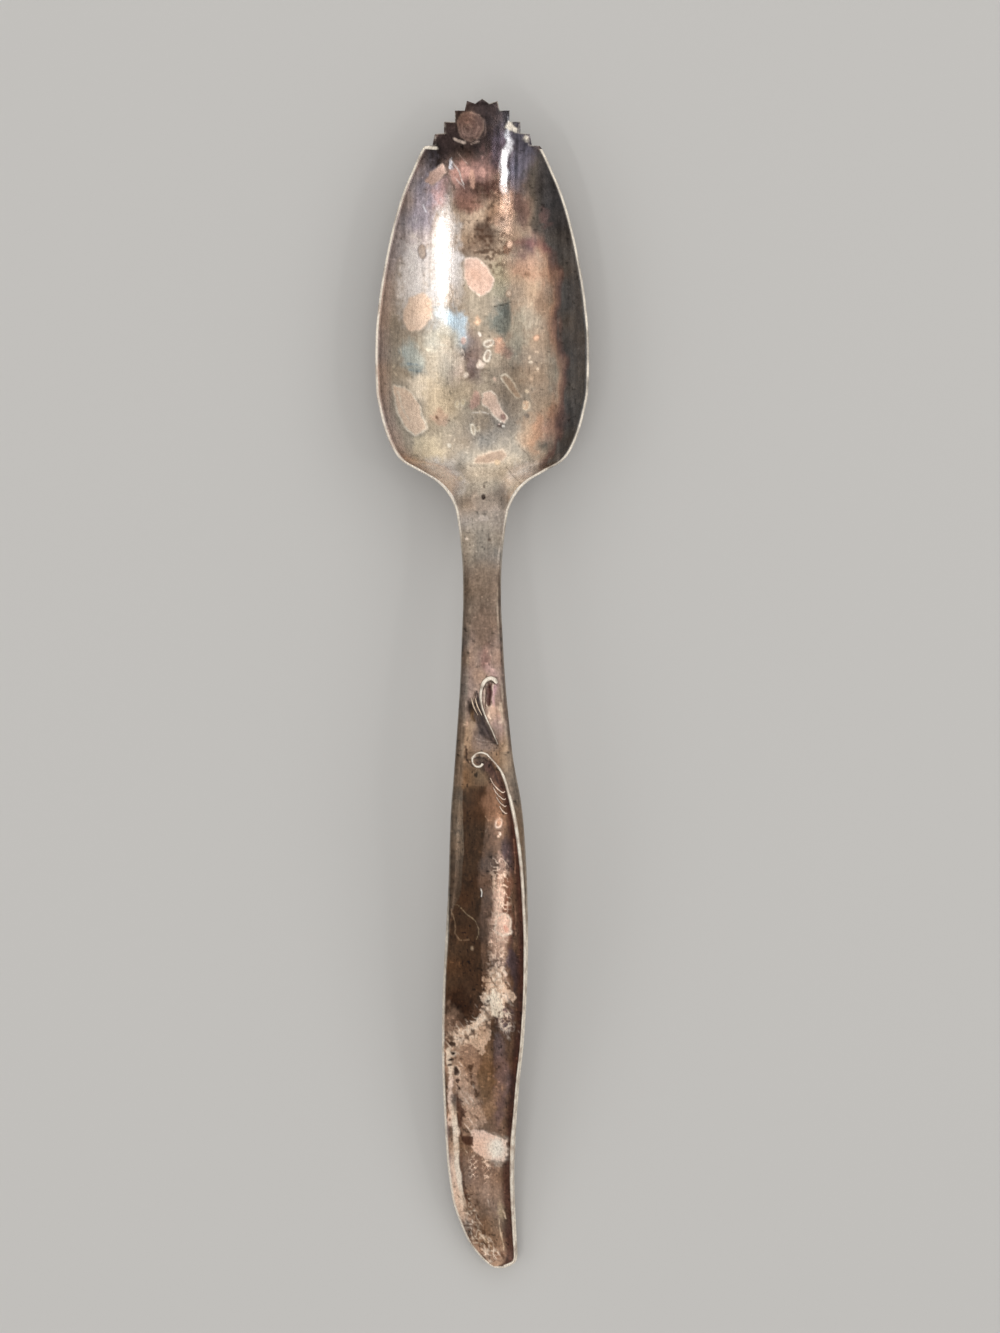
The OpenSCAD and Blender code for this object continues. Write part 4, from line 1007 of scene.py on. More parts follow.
def tooth_places():
    """Places of the middle tooth and of those on its right, each one pitch from the one before, and last the
    corner behind the outermost notch."""
    fine_s = np.linspace(0, widest_s / 2, fine_count)
    outline = np.stack([fine_s, half_width(fine_s)], axis=1)
    found = [outline[0]]
    start = 0
    for _ in range((teeth + 1) // 2):
        reach = np.hypot(*(outline[start:] - found[-1]).T)
        start += int(np.argmax(reach >= tooth_pitch))
        found.append(outline[start])
    return found


def toothed_outline():
    """Outline from the left corner over the teeth to the right one: each flank is a straight line, and a
    notch's floor lies at the middle of its chord, moved in by the depth of the notch."""
    places = tooth_places()
    right = []
    for k, (a, b) in enumerate(zip(places[:-1], places[1:])):
        chord = b - a
        inward = np.array([chord[1], -chord[0]]) / np.hypot(*chord)
        floor = (a + b) / 2 + inward * notch_depth * notch_shares[min(k, len(notch_shares) - 1)]
        t = np.linspace(0, 1, flank_steps, endpoint=False)[:, None]
        right += [a + (floor - a) * t, floor + (b - floor) * t]
    right = np.concatenate(right + [places[-1][None]])
    return np.concatenate([right[:0:-1] * [1, -1], right])


def base_places(outline):
    """Places on the tip's back line that the lines from the outline run to. They never turn back, which
    keeps the grid from folding at the notches, and they lean inwards near the corners."""
    half = len(outline) // 2 + 1
    half_base = half_width(np.array([tip_end_s]))[0]
    right = outline[half - 1:]
    goal = right[:, 1] - lean_share * (right[:, 1] / half_base) * (tip_end_s - right[:, 0])
    goal = np.minimum.accumulate(goal[::-1])[::-1] + base_step * np.arange(len(goal))
    goal = np.minimum(goal - goal[0], half_base)
    goal[-1] = half_base
    return np.concatenate([-goal[:0:-1], goal])


def tip_places(outline):
    """Rows of places from the teeth back to the bowl, closer together within a short length of the teeth.
    One more row beyond each end gives the slope there."""
    base = base_places(outline)
    length = np.maximum(np.hypot(tip_end_s - outline[:, 0], base - outline[:, 1]), shortest_line)
    near = near_l / length
    even = np.linspace(0, 1, far_rows)[:, None]
    shares = np.concatenate([near_shares[:, None] * near, near + (1 - near) * even])
    s = outline[:, 0] + (tip_end_s - outline[:, 0]) * shares
    x = outline[:, 1] + (base - outline[:, 1]) * shares
    return (np.concatenate([2 * s[:1] - s[1:2], s, s[-1:] + slope_l]),
            np.concatenate([2 * x[:1] - x[1:2], x, x[-1:]]))


def worn_bare(s, x, from_teeth):
    """Share of bare metal: a thin line along the teeth, three rubbed teeth and a line along the shoulder."""
    bare = 0.5 * fade(from_teeth, 0.02, 0.15) * np.clip(0.4 + 0.9 * cloud(s, x, 0.8, 57), 0, 1)
    for (worn_s, worn_x), radius in worn_teeth:
        away = np.hypot(s - worn_s, x - worn_x) + 0.2 * cloud(s, x, 0.4, 58)
        bare = np.maximum(bare, 0.95 * fade(away, radius * 0.5, radius * 1.4))
    return np.maximum(bare, 0.95 * fade(from_line(s, x, worn_shoulder), 0.12, 0.28))


tip_outline = toothed_outline()
s, x = tip_places(tip_outline)
from_teeth = np.min(np.hypot(s[..., None] - tip_outline[:, 0], x[..., None] - tip_outline[:, 1]), axis=-1)
distance = np.minimum(from_teeth, edge_distance(s, x))
cut = rounded_off(distance, tip_round)
above = top(s, x) + struck(s, x) * after(distance, 0, 0.3) - cut
bare = worn_bare(s, x, from_teeth)
coat = mixed(inside_coat(s, x, bowl_washes, 0.2), bright_silver, bare)
coat_below, polish_below = below_coat(*(values[half_columns] for values in (s, x, distance)))
skin("serrated_tip_shell", (grid(s, x, above), coat, bare),
     (grid(s, x, under(s, x) + cut)[half_columns], coat_below,
      np.maximum(polish_below, 0.5 * bare[half_columns])),
     plate("tip_silver", 0.88, 0.24, 0.26, 0.18, 0.007, 0.25), "serrated_tip")

# Neck and stem
# The neck gathers the bowl into a slim stem with both upper edges bevelled, the thickest metal of the spoon.
# Both are struck in one with the rest, and are dull taupe, browner and then rosy towards the scrolls.
stem_steps = 60
stem_row_l = 0.14
collar_washes = [
    wash((83.4, 0.5), (1.1, 1.4), (122, 106, 98), 0.85, 0, 0.4),
    wash((84.6, 2.8), (2.4, 0.7), (176, 150, 126), 0.7, 8),
    wash((85.2, -2.9), (2.6, 0.8), (118, 98, 80), 0.7),
    wash((86.8, 0.6), (1.6, 1), (66, 43, 38), 0.85, 32, 0.5),
    wash((88.6, 2), (1.8, 0.9), (60, 40, 38), 0.9, 30, 0.5),
    wash((87.6, -1.4), (1.4, 1.4), (112, 86, 62), 0.6),
]
stem_washes = [
    wash((57, 0), (3.4, 3), (150, 138, 124), 0.6),
    wash((61, 0.4), (2, 1.2), (136, 120, 106), 0.7),
    wash((64.6, -0.2), (3.4, 1.5), (124, 108, 94), 0.7),
    wash((68.4, 0.3), (3, 1.3), (116, 96, 82)),
    wash((71.4, -0.8), (1.8, 0.9), (150, 126, 110), 0.6),
    wash((72.6, 0.9), (1.8, 0.7), (128, 92, 82), 0.7),
    wash((74.2, 1.3), (1, 0.8), (178, 146, 138), 0.7),
    wash((75.4, -0.6), (2.6, 1), (150, 124, 106), 0.6),
    wash((79.3, -1.4), (1.2, 0.6), (38, 26, 20), 0.97, 12, 0.5),
    wash((79.9, -1.1), (0.8, 0.5), (112, 82, 52), 0.6),
    wash((82, -1.6), (1.9, 0.65), (150, 127, 106), 0.9, 0, 0.5),
    wash((82.4, 0.1), (0.9, 0.7), (78, 66, 61), 0.8, 20),
    wash((77.4, 1.9), (1.8, 0.5), (176, 138, 140), 0.9, 0, 0.4),
    wash((79.8, 1.7), (1.4, 0.7), (190, 158, 138), 0.8, 0, 0.5),
    wash((81.8, 2.2), (1.6, 0.6), (160, 130, 118), 0.8, 0, 0.5),
]
stem_spots = [
    spot(disc((54.5, 0.1), (0.32, 0.55)), (176, 160, 148), 0.5, line=(206, 190, 176)),
    spot(disc((57.4, 0.9), (0.2, 0.2)), (86, 72, 62), 0.8, 0.1, 0.1),
    spot(disc((57.2, -2), (0.16, 0.22)), (224, 208, 192), 0.9),
    spot(patch([(75.85, 0.75), (75.75, 1.3), (77.2, 1.35), (78.6, 1.1), (78.9, 0.75), (77.8, 0.45),
         (76.6, 0.5)], 0.1), (78, 50, 44), 0.92, 0.08, 0.05, (222, 198, 176), 0.8),
    spot(patch([(78.4, -1), (80, -0.75), (81.2, -0.45), (82.2, -0.2), (82.8, 0.5), (83.3, 1.4), (83.5, 1.9),
         (82.3, 1.2), (81.3, 0.75), (80.3, 0.4), (79, 0.05), (78, -0.4)], 0.1), (62, 51, 47), 0.85, 0.25,
         0.12),
    # Painted shade: dark lines along the foot of the leaf scroll, at the inner side of its head and down its
    # left side.
    spot(streak([(76.7, 0.05), (75.9, 0.45), (75.65, 1), (75.8, 1.7), (75.6, 2.1)], 0.1), (44, 33, 30), 0.9,
         0.1, 0.02),
    spot(streak([(77, -0.65), (79.2, -0.4), (81, 0.2), (82.4, 1), (83.5, 1.75)], 0.12), dark_tarnish_and_shade, 0.9, 0.14,
         0.04),
    spot(streak([(77, -0.9), (78.6, -0.9), (80.6, -0.2)], 0.06), (64, 48, 38), 0.8, 0.1, 0.04),
    spot(streak([(79.3, 0.95), (80, 0.9), (80.4, 1.2)], 0.06), (226, 200, 176), 0.8, 0.08, 0.1),
    spot(streak([(78.4, 2.35), (79.6, 2.5), (80.8, 2.55)], 0.1), (230, 206, 182), 0.85, 0.12, 0.12),
    spot(streak([(82.9, -0.6), (83.1, 0.4), (83.7, 1.4)], 0.04), (176, 160, 150), 0.7, 0.07),
    spot(streak([(83.4, -0.5), (83.6, 0.5), (84, 1.3)], 0.04), (170, 152, 142), 0.6, 0.07),
    # Painted shadow beside the curl's spur, where it reaches the stem.
    spot(streak([(83.9, -2), (84.6, -2)], 0.1), (54, 39, 32), 0.8, 0.1, 0.06),
]
bevel_band = [(throat_s, 0.35), (60, 0.7), (66, 0.95), (78, 0.9), (collar_s, 0.95), (88, 1.2), (92, 1.5),
              (97, 1.85), (102.4, 1.65), (104.2, 1.05), (106, 0.5), (113, 0.42), (118, 0.24), (end_s, 0.2)]


def bevels_shaded(coat, s, x):
    """Coat with the bevels along both edges set off: the left one in a tone that changes along the spoon,
    with a painted highlight along its crease and painted shade at its outer edge, and the right one in
    painted shade with a painted highlight along it."""
    from_left = x - left_edge(s) + 0.06 * cloud(s, x, 1.2, 17) + 0.03 * cloud(s, x, 0.4, 18)
    crease = curve(bevel_band, s)
    on_handle = after(s, 86, 91)
    band = fade(from_left - crease, -0.06, 0.06) * after(s, 58, 63)
    beside_floor = mixed(tone(104, 87, 71), tone(72, 58, 46), after(s, 95, 100))
    band_tone = mixed(tone(92, 79, 68), beside_floor, on_handle)
    coat = mixed(coat, band_tone, 0.8 * band * fade(s, 110, 120))
    # Painted highlight along the left crease.
    line = np.exp(-((from_left - crease) / 0.09) ** 2) * after(s, 60, 66) * fade(s, 86, 90)
    coat = mixed(coat, tone(158, 140, 122), 0.6 * line * np.clip(0.6 + cloud(s, x, 0.8, 19), 0, 1))
    # Painted shade at the outer edge of the left bevel.
    outer = fade(from_left, 0.1, 0.3) * after(s, 64, 70) * fade(s, 100, 108)
    coat = mixed(coat, tone(66, 54, 46), 0.6 * outer)
    from_right = right_edge(s) - x + 0.05 * cloud(s, x, 1.0, 21)
    # Painted shade along the right bevel.
    right = fade(from_right, 0.3, 0.5) * after(s, 58, 63) * fade(s, 84, 90)
    coat = mixed(coat, tone(84, 72, 64), 0.7 * right)
    # Painted highlight along the right crease.
    line = np.exp(-((from_right - 0.5) / 0.1) ** 2) * after(s, 57, 60) * fade(s, 82, 86)
    return mixed(coat, tone(206, 186, 166), 0.7 * line * np.clip(0.5 + 1.2 * cloud(s, x, 1.2, 22, 2), 0, 1))


edge_line_w = [(throat_s, rim_line_w), (waist_s, 0.16), (collar_s, 0.12), (104, 0.2), (108, 0.32),
               (114, 0.28), (end_s, 0.3)]
edge_strengths = [(throat_s, 0.95), (56, 0.7), (60, 0.3), (collar_s, 0.2), (102, 0.25), (110, 0.85),
                  (end_s, 0.95)]


def stem_coat(s, x, distance):
    """Coat and polish of the neck and the stem."""
    coat = washed(ground(s), s, x, throat_washes + stem_washes + collar_washes)
    coat = coat * (1 + 0.1 * cloud(s, x, 0.28, 96, 12) + 0.08 * cloud(s, x, 0.6, 97, 5))[..., None]
    coat = mottled(spotted(bevels_shaded(coat, s, x), s, x, stem_spots), s, x, 0.2)
    return rubbed_rim(coat, 0, s, x, distance, curve(edge_line_w, s), curve(edge_strengths, s))


stem_silver = plate("stem_silver", 0.82, 0.36, 0.28, 0.2, 0.008)
for node, start, end in (("neck", throat_s, waist_s), ("stem", waist_s, collar_s)):
    region(f"{node}_bar", rows_between(start, end, stem_row_l), stem_steps, stem_coat,
           stem_silver, node)

# Handle
# A broad blade with a hollow struck into it, high walled on the right and low walled on the left. It is dark
# brown, and fingers have worn it to bare metal across the middle and along both edges. Painted shade darkens
# the right wall of the hollow, and painted light lies on its crest, on the low left wall and along a streak
# down the floor.
handle_steps = 92
handle_row_l = 0.14
tail_l, tail_rows, slope_beyond = 4.0, 40, 0.1
floor_start_s = 88.9
floor_split = [(84.5, 0.9), (89.1, 0.7), (94.7, 0.35), (99.9, -0.1), (117.0, 0.0), (124, 0.2)]
handle_washes = [
    wash((92.4, 1.6), (4.2, 1), (128, 98, 79), 0.85),
    wash((91.2, 0.9), (2, 0.6), (104, 78, 62), 0.6),
    wash((97, 3.5), (2.2, 0.8), (66, 52, 54)),
    wash((100.8, 0.7), (4, 0.9), (96, 77, 66)),
    wash((106, 0.6), (4, 0.7), (86, 66, 54), 0.6),
    # Light streak down the floor: partly worn plate, partly painted reflection of the lamp on the left.
    wash((99.4, 2.4), (2.6, 0.5), (158, 126, 108), 0.8, 3),
    wash((104.2, 2.4), (3.6, 0.8), (196, 162, 142), 0.85, 3, 0.5),
    wash((110, 2.3), (4.4, 1), (184, 151, 131)),
    wash((104.6, 3.7), (5, 0.4), (106, 70, 54), 0.85, 3),
    wash((112.4, 4.1), (3.2, 0.5), (58, 46, 50), 0.85, 0, 0.5),
    wash((112.6, -3.2), (3, 1.2), (82, 58, 39), 0.6),
    wash((117.6, -2.9), (3.2, 1.8), (42, 22, 9), 0.95),
    wash((119.6, 3), (2, 1.3), (96, 78, 76), 0.85),
    wash((126.4, -2.8), (7.8, 2), (162, 130, 108), 0.9, 6, 0.35),
    wash((127, 0.2), (3.6, 1.2), (114, 86, 62), 0.9, 0, 0.5),
    wash((123.4, 0), (1.6, 0.9), (124, 96, 72)),
    wash((128, 2.5), (6.2, 1.1), (98, 78, 74), 0.9, 0, 0.4),
    wash((131.2, 1), (2.6, 0.8), (150, 118, 92), 0.7, -25, 0.7),
    wash((139.6, -0.2), (2.2, 1.9), (136, 108, 92), 0.85, 0, 0.5),
    wash((144, 1), (4, 1.7), (148, 121, 103), 0.7, 8),
    wash((146.6, 0), (3, 1), (112, 88, 70), 0.7, 22),
    wash((148.8, 1.4), (2.6, 1.4), (120, 94, 73), 0.8, 10, 0.5),
    wash((149.4, -1.4), (1.5, 0.9), (116, 93, 78), 0.75),
    wash((146.2, 2.6), (1.8, 0.5), (178, 152, 122), 0.85, 8, 0.5),
    wash((142.6, 0.8), (1.6, 0.4), (166, 138, 120), 0.6, 8),
]
worn_band = [(122.4, -4.4), (121.2, -4.3), (121.0, -3.2), (120.9, -2.2), (120.1, -1.5), (119.3, -0.8),
             (118.4, 0.0), (117.4, 0.4), (116.4, 0.1), (115.4, 0.5), (114.2, 0.4), (113.6, 1.2),
             (112.4, 1.5), (112.4, 2.7), (114.6, 3.0), (115.8, 3.8), (116.6, 4.2), (116.9, 3.3),
             (118.4, 1.7), (119.6, 0.9), (121.6, 0.6), (123.6, 0.3), (123.4, -1.0), (122.4, -2.2),
             (123.2, -2.9), (122.9, -3.6)]
handle_spots = [
    spot(patch(worn_band, 0.1), (190, 160, 136), 0.95, 0.12, 0.45),
    spot(disc((117.2, 1.6), (1.6, 0.9), 10), (244, 226, 202), 0.95, 0.4, 0.55),
    spot(disc((120, -0.6), (1.6, 0.6), -38), (220, 194, 170), 0.9, 0.25, 0.45),
    spot(disc((122, -3), (0.7, 1.1), 0), (206, 178, 154), 0.85, 0.25, 0.45),
    spot(patch([(126.2, -3.9), (125.4, -2.7), (126.8, -2), (129.4, -1.5), (131.4, -0.2), (133.6, 0.7),
         (134, -1.2), (133.4, -2.1), (131, -2.4), (128.6, -3.4)], 0.1), (182, 150, 128), 0.85, 0.2, 0.4),
    spot(streak([(125.6, -1.5), (127.4, -1.35), (129.4, -0.8)], 0.24), (66, 43, 28), 0.85, 0.16, 0.25),
    spot(streak([(104.4, -3.9), (104.2, -3.2), (105.2, -2.1), (106.3, -0.9), (107.4, -0.4), (108.6, -0.6)],
         0.03), (150, 128, 100), 0.8, 0.07, 0.02),
    spot(streak([(105, -3.9), (106.4, -3.5), (108, -3.4), (108.9, -2.7), (108.7, -1.7)], 0.05),
         (142, 114, 88), 0.7, 0.1, 0.04),
    spot(patch([(105.8, 2.1), (105.5, 2.8), (106.2, 3.4), (107.6, 3.5), (107.9, 2.7), (107.4, 1.8)], 0.25),
         (214, 178, 156), 0.8, 0.1, 0.06, (246, 224, 202), 0.85),
    spot(disc((107.3, 3.1), (0.4, 0.3)), (196, 132, 110), 0.6, 0.15, 0.08),
    spot(disc((93.6, 2.1), (0.5, 0.45)), (176, 132, 106), 0.7, line=(240, 210, 188), line_strength=0.9),
    spot(disc((95, 2.3), (0.22, 0.14)), (236, 208, 184), 0.9),
    spot(disc((95.3, 2), (0.14, 0.14)), (220, 186, 158), 0.8),
    spot(streak([(92.8, 0.4), (93.4, 0.8), (94.3, 0.8), (95.1, 0.4)], 0.04), (150, 124, 104), 0.7, 0.08),
    # Painted shade: a dark line inside the curl.
    spot(streak([(85.3, -0.9), (85.15, -0.3), (85.3, 0.25), (85.9, 0.85), (87, 1.6), (88.6, 2.2)], 0.1),
         (46, 34, 31), 0.85, 0.12, 0.04),
    spot(streak([(85.1, -0.95), (85.35, -1.25)], 0.09), (240, 220, 200)),
    # Painted shadow beside the curl's spur.
    spot(streak([(84.5, -2), (85.3, -1.9), (86, -1.6), (86.4, -1.2)], 0.13), (48, 33, 27), 0.85, 0.1, 0.06),
    spot(streak([(102.2, -0.1), (103, -0.05)], 0.06), (246, 238, 226), 0.95, 0.05, 0.02),
    spot(disc((109.9, -1.2), (0.22, 0.2)), (150, 128, 104), 0.8, 0.12, 0.1),
    spot(patch([(134.5, -1.3), (134.5, 0), (134.8, 1), (135.4, 2), (135.7, 3), (137.4, 3.1), (138.3, 2.6),
         (138.2, 1.2), (137.9, 0.2), (137.2, -0.8), (136.2, -1.3)], 0.15), (226, 192, 172), 0.95, 0.1, 0.12,
         (240, 212, 192), 0.4),
    spot(disc((136.8, 1.9), (1.5, 1.1)), (255, 242, 224), 0.95, 0.9, 0.3),
    spot(patch([(134.2, -3), (135, -2.9), (135.2, -1.3), (136.3, -1.2), (136.2, -2.1), (135.6, -2.7),
         (134.6, -2.8)], 0.1), (66, 41, 30), 0.94, 0.12, 0.08),
    spot(streak([(136.9, -3), (136.6, -2.5), (137.4, -1.9)], 0.04), (226, 202, 178), 0.8, 0.07),
    spot(streak([(143.9, 0.7), (144.8, 0.9)], 0.09), (206, 182, 162), 0.7, 0.12, 0.1),
    spot(streak([(146.6, 2.1), (148.4, 2.4), (150.8, 2.8)], 0.05), (206, 178, 148), 0.85, 0.08, 0.04),
    spot(streak([(145.4, 2), (144.8, 2.6), (146.4, 3.1)], 0.08), (204, 178, 150), 0.7, 0.1, 0.08),
    spot(streak([(148.6, -0.4), (149.4, 0.3), (150.2, 1)], 0.1), (214, 190, 160), 0.6, 0.12, 0.12),
    spot(disc((151.4, 2), (0.3, 1)), (110, 76, 56), 0.7, 0.15, 0.15),
    spot(streak([(95.7, 4.1), (98, 4.2), (100.1, 4.3)], 0.04), (152, 114, 94), 0.75, 0.08, 0.03),
    spot(streak([(104.2, 4.2), (108.1, 4.3)], 0.04), (152, 114, 94), 0.75, 0.08, 0.03),
]
pit_spots = [
    spot(streak([(123.4, -4.3), (124.8, -4.3), (126.8, -4.1)], 0.3), (232, 208, 184), 0.9, 0.12, 0.12),
    spot(streak([(127.2, -4.1), (129.2, -4.2), (131.6, -4.15), (133.4, -3.9)], 0.34), (236, 206, 186), 0.9,
         0.2, 0.25),
    spot(streak([(133, -3.6), (134.2, -3.35), (135, -3.3)], 0.28), (240, 216, 194), 0.9, 0.16, 0.2),
    spot(disc((122.6, -3.9), (0.3, 0.6)), (44, 28, 20), 0.95, 0.1, 0.12),
    spot(disc((123.9, -3.7), (0.42, 0.34)), (32, 20, 15), 0.97, 0.08, 0.08, (250, 226, 202), 0.9),
    spot(disc((124.7, -4), (0.2, 0.42)), (36, 22, 17), 0.95, 0.08, 0.08),
    spot(disc((125.4, -4.2), (0.16, 0.3)), (60, 40, 30), 0.9, 0.08, 0.08),
    spot(disc((126.2, -3.5), (0.65, 0.45)), (42, 25, 18), 0.95, 0.1, 0.1, (246, 216, 190), 0.7),
    spot(disc((127.6, -3.2), (0.3, 0.22)), (56, 36, 26), 0.9, 0.1, 0.1),
    spot(disc((128.6, -2.9), (0.22, 0.16)), (66, 42, 31), 0.9, 0.1, 0.1),
    spot(disc((131.6, -3.1), (2.1, 0.62), 8), (76, 48, 36), 0.85, 0.2, 0.4),
]
rubbed_lines = [[(113.0, 2.0), (117.0, 2.0), (119.6, -0.6), (121.2, -3.4)],
                [(123.4, -3.6), (126.4, -3.2), (129.0, -2.2), (133.2, -1.4)], [(120.2, 3.2), (118.6, 3.0)],
                [(144.0, -2.4), (149.0, -0.6), (151.4, 1.2)]]
wavy_lines = [[(138.0, -1.2), (140.5, -1.2)], [(138.2, 0.5), (140.3, 0.6)]]
granular = [(99.0, 2.2), (104.0, 2.5), (110.0, 2.0), (114.0, 1.8), (117.5, 2.2), (120.2, 3.2)]


def crackled(s, x, period, seed):
    """Share of a net of fine lines: 1 where a cloud passes through zero, and 0 a little away from there."""
    return fade(abs(cloud(s, x, period, seed) + 0.4 * cloud(s, x, period / 2, seed + 1)), 0.04, 0.3)


def handle_coat(s, x, distance):
    """Coat and polish of the handle's upper face: floor, right wall in painted shade with painted light on
    its crest, wear, left wall with painted light, and both edges.
    """
    floor = after(s + 0.05 * cloud(s, x, 0.6, 60), floor_start_s - 0.1, floor_start_s + 0.1)
    split = curve(floor_split, s) + 0.1 * cloud(s, x, 0.8, 64, 2.0)
    coat = mixed(ground(s), tone(58, 39, 25), 0.85 * floor * fade(x - split, -0.1, 0.1) * fade(s, 112, 120))
    coat = mixed(coat, tone(98, 75, 60), 0.6 * floor * fade(split - x, -0.1, 0.1) * fade(s, 110, 122))
    coat = washed(coat, s, x, collar_washes + handle_washes)
    beside_wall = right_edge(s) - inset(s, right_creases) - x
    streaks = cloud(s, x, 0.25, 65, 12)
    # Painted shade on the right wall of the hollow, over its dark maroon tarnish.
    wall = fade(beside_wall + 0.1 * streaks - 0.35 * after(s, 137, 140), 0.5, 1.3) * after(s, 87, 91)
    coat = mixed(coat, tone(62, 36, 28) * (1 + 0.3 * streaks)[..., None], 0.9 * wall)
    # A net of pale grains along the light streak: partly worn plate, partly painted reflection.
    net = crackled(s, x, 0.5, 66) * fade(from_line(s, x, granular), 0.3, 1.6)
    coat = mixed(coat, tone(230, 200, 176), 0.75 * net)
    coat = bevels_shaded(spotted(coat, s, x, handle_spots), s, x)

    rubbed = np.min([from_line(s, x, line) for line in rubbed_lines], axis=0)
    whole = fade(abs(s - 128.5), 5, 7)
    holes = crackled(s, x, 0.7, 72) * fade(abs(rubbed - 1.1), 0.3, 1.0) * (1 - 0.6 * whole)
    coat = mixed(coat, tone(78, 54, 40), 0.85 * holes)
    flecks = crackled(s, x, 0.55, 74) * fade(rubbed, 0.4, 1.3) * (1 - 0.8 * whole)
    coat = mixed(coat, tone(240, 220, 198), 0.65 * flecks)
    from_waves = np.minimum(*(from_line(s, x, line) for line in wavy_lines))
    waves = crackled(s, x, 0.42, 76) * fade(from_waves, 0.3, 0.8)
    coat = mixed(coat, tone(228, 198, 175), 0.75 * waves)

    from_left = x - left_edge(s) + 0.12 * cloud(s, x, 0.8, 67, 1.5)
    # Along the low left wall: bare metal and painted highlight, the lamp's light on its inner slope.
    low_wall = fade(from_left, 1.0, 1.7) * after(s, 134, 139)
    coat = mixed(coat, tone(232, 200, 176), 0.85 * low_wall * fade(s, 144, 148))
    shadow = fade(from_left, 0.35, 0.6) * after(s, 130, 134) * fade(s, 138, 143)
    coat = mixed(coat, tone(150, 124, 116), 0.8 * shadow)
    fibres = cloud(s * 0.8 + x * 0.6, x * 0.8 - s * 0.6, 0.3, 68, 4)
    worn_zone = fade(rubbed, 0.8, 2.2)
    coat = mixed(coat, tone(*umber), 0.65 * worn_zone * fade(fibres, -0.75, -0.3))
    coat = mixed(coat, tone(238, 214, 192), 0.5 * worn_zone * after(fibres, 0.5, 0.85))
    coat = spotted(coat, s, x, pit_spots)
    ridge_line = fade(abs(from_left - 1.36), 0.24, 0.46) * after(s, 129, 133) * fade(s, 142, 146)
    coat = mixed(coat, tone(250, 230, 208), ridge_line * np.clip(1.1 + 0.8 * cloud(s, x, 0.6, 69), 0, 1))
    groove = 0.6 * fade(abs(from_left - 1.85), 0.1, 0.3) * after(s, 136, 138) * fade(s, 143, 147)
    coat = mixed(coat, tone(92, 62, 48), groove)
    # Painted light on the outer slope of the right crest.
    crest_light = fade(right_edge(s) - x - inset(s, right_creases), -0.1, 0.1)
    coat = mixed(coat, tone(132, 116, 100), 0.75 * crest_light)

    coat = mottled(coat, s, x, 0.24)
    bare = 0.7 * smooth(np.clip((coat.max(axis=-1) - 0.45) / 0.4, 0, 1))
    return rubbed_rim(coat, bare, s, x, distance, curve(edge_line_w, s), curve(edge_strengths, s))


handle_silver = plate("handle_silver", 0.8, 0.32, 0.28, 0.2, 0.008, 0.2)
tail = end_s - tail_l * (1 - np.linspace(0, 1, tail_rows + 1)[1:]) ** 2
row_s = np.concatenate([rows_between(collar_s, end_s - tail_l, handle_row_l)[:-1], tail,
                        [end_s + slope_beyond]])
region("handle_blade", row_s, handle_steps, handle_coat, handle_silver, "handle")

# Leaf scroll
# A raised tendril on the stem: it hooks over at its head and runs out thin beside the collar, with two fine
# veins on its left. It is struck with the blank, and its back is rubbed bright.
ridge_steps = 14
ridge_sink = 0.06
path_steps, vein_steps = 12, 16


def spline(points, steps):
    """Smooth path through a few points, each stretch a cubic with the slopes of its neighbours' chord."""
    p = np.asarray(points, float)
    p = np.concatenate([p[:1], p, p[-1:]])
    u = (np.arange(steps) / steps)[None, :, None]
    a, b, c, d = (p[k:len(p) - 3 + k][:, None] for k in range(4))
    path = (b + (c - a) * u / 2 + (a - 2.5 * b + 2 * c - d / 2) * u ** 2
            + (1.5 * (b - c) + (d - a) / 2) * u ** 3)
    return np.concatenate([path.reshape(-1, 2), p[-1:]])


def ridge(path, width, height, swell_shares):
    """Ridge with a half round section along a path of (s, x) places on the struck face: points over it and
    a little below the face, its width and height both following a table of shares along the path."""
    path = np.concatenate([2 * path[:1] - path[1:2], path, 2 * path[-1:] - path[-2:-1]])
    direction = np.gradient(path, axis=0)
    direction /= np.linalg.norm(direction, axis=1, keepdims=True)
    across_path = np.stack([-direction[:, 1], direction[:, 0]], axis=1)
    swell = curve(swell_shares, np.linspace(0, 1, len(path)))[:, None]
    p = np.sin(np.linspace(-1, 1, ridge_steps + 1) * np.pi / 2)
    places = path[:, None] + across_path[:, None] * (p * width / 2 * swell)[..., None]
    s, x = places[..., 0], places[..., 1]
    face = top(np.minimum(s, end_s), x) + struck(s, x)
    above = face + height * swell * np.sqrt(np.maximum(0, 1 - p ** 2)) - ridge_sink * abs(p) ** 6
    return s, x, above, face - 2 * ridge_sink, p


def raised(name, parts, crest_tone, foot_tone, crest_share, paint, node, seed):
    """Piece made of one or more ridges: the crest is rubbed, and the foot keeps its tarnish."""
    for k, (s, x, above, below, p) in enumerate(parts):
        rubbed = np.broadcast_to(fade(abs(p), crest_share - 0.25, crest_share + 0.2), s.shape)
        rubbed = rubbed * np.clip(0.85 + 0.5 * cloud(s, x, 0.7, seed), 0, 1)
        coat = mixed(np.broadcast_to(foot_tone, (*s.shape, 3)), crest_tone, rubbed)
        coat = mottled(coat, s, x, 0.06, seed + 1)
        skin(f"{name}_{k}" if k else name, (grid(s, x, above), coat, 0.8 * rubbed),
             (grid(s, x, below), coat, 0.8 * rubbed), paint, node)


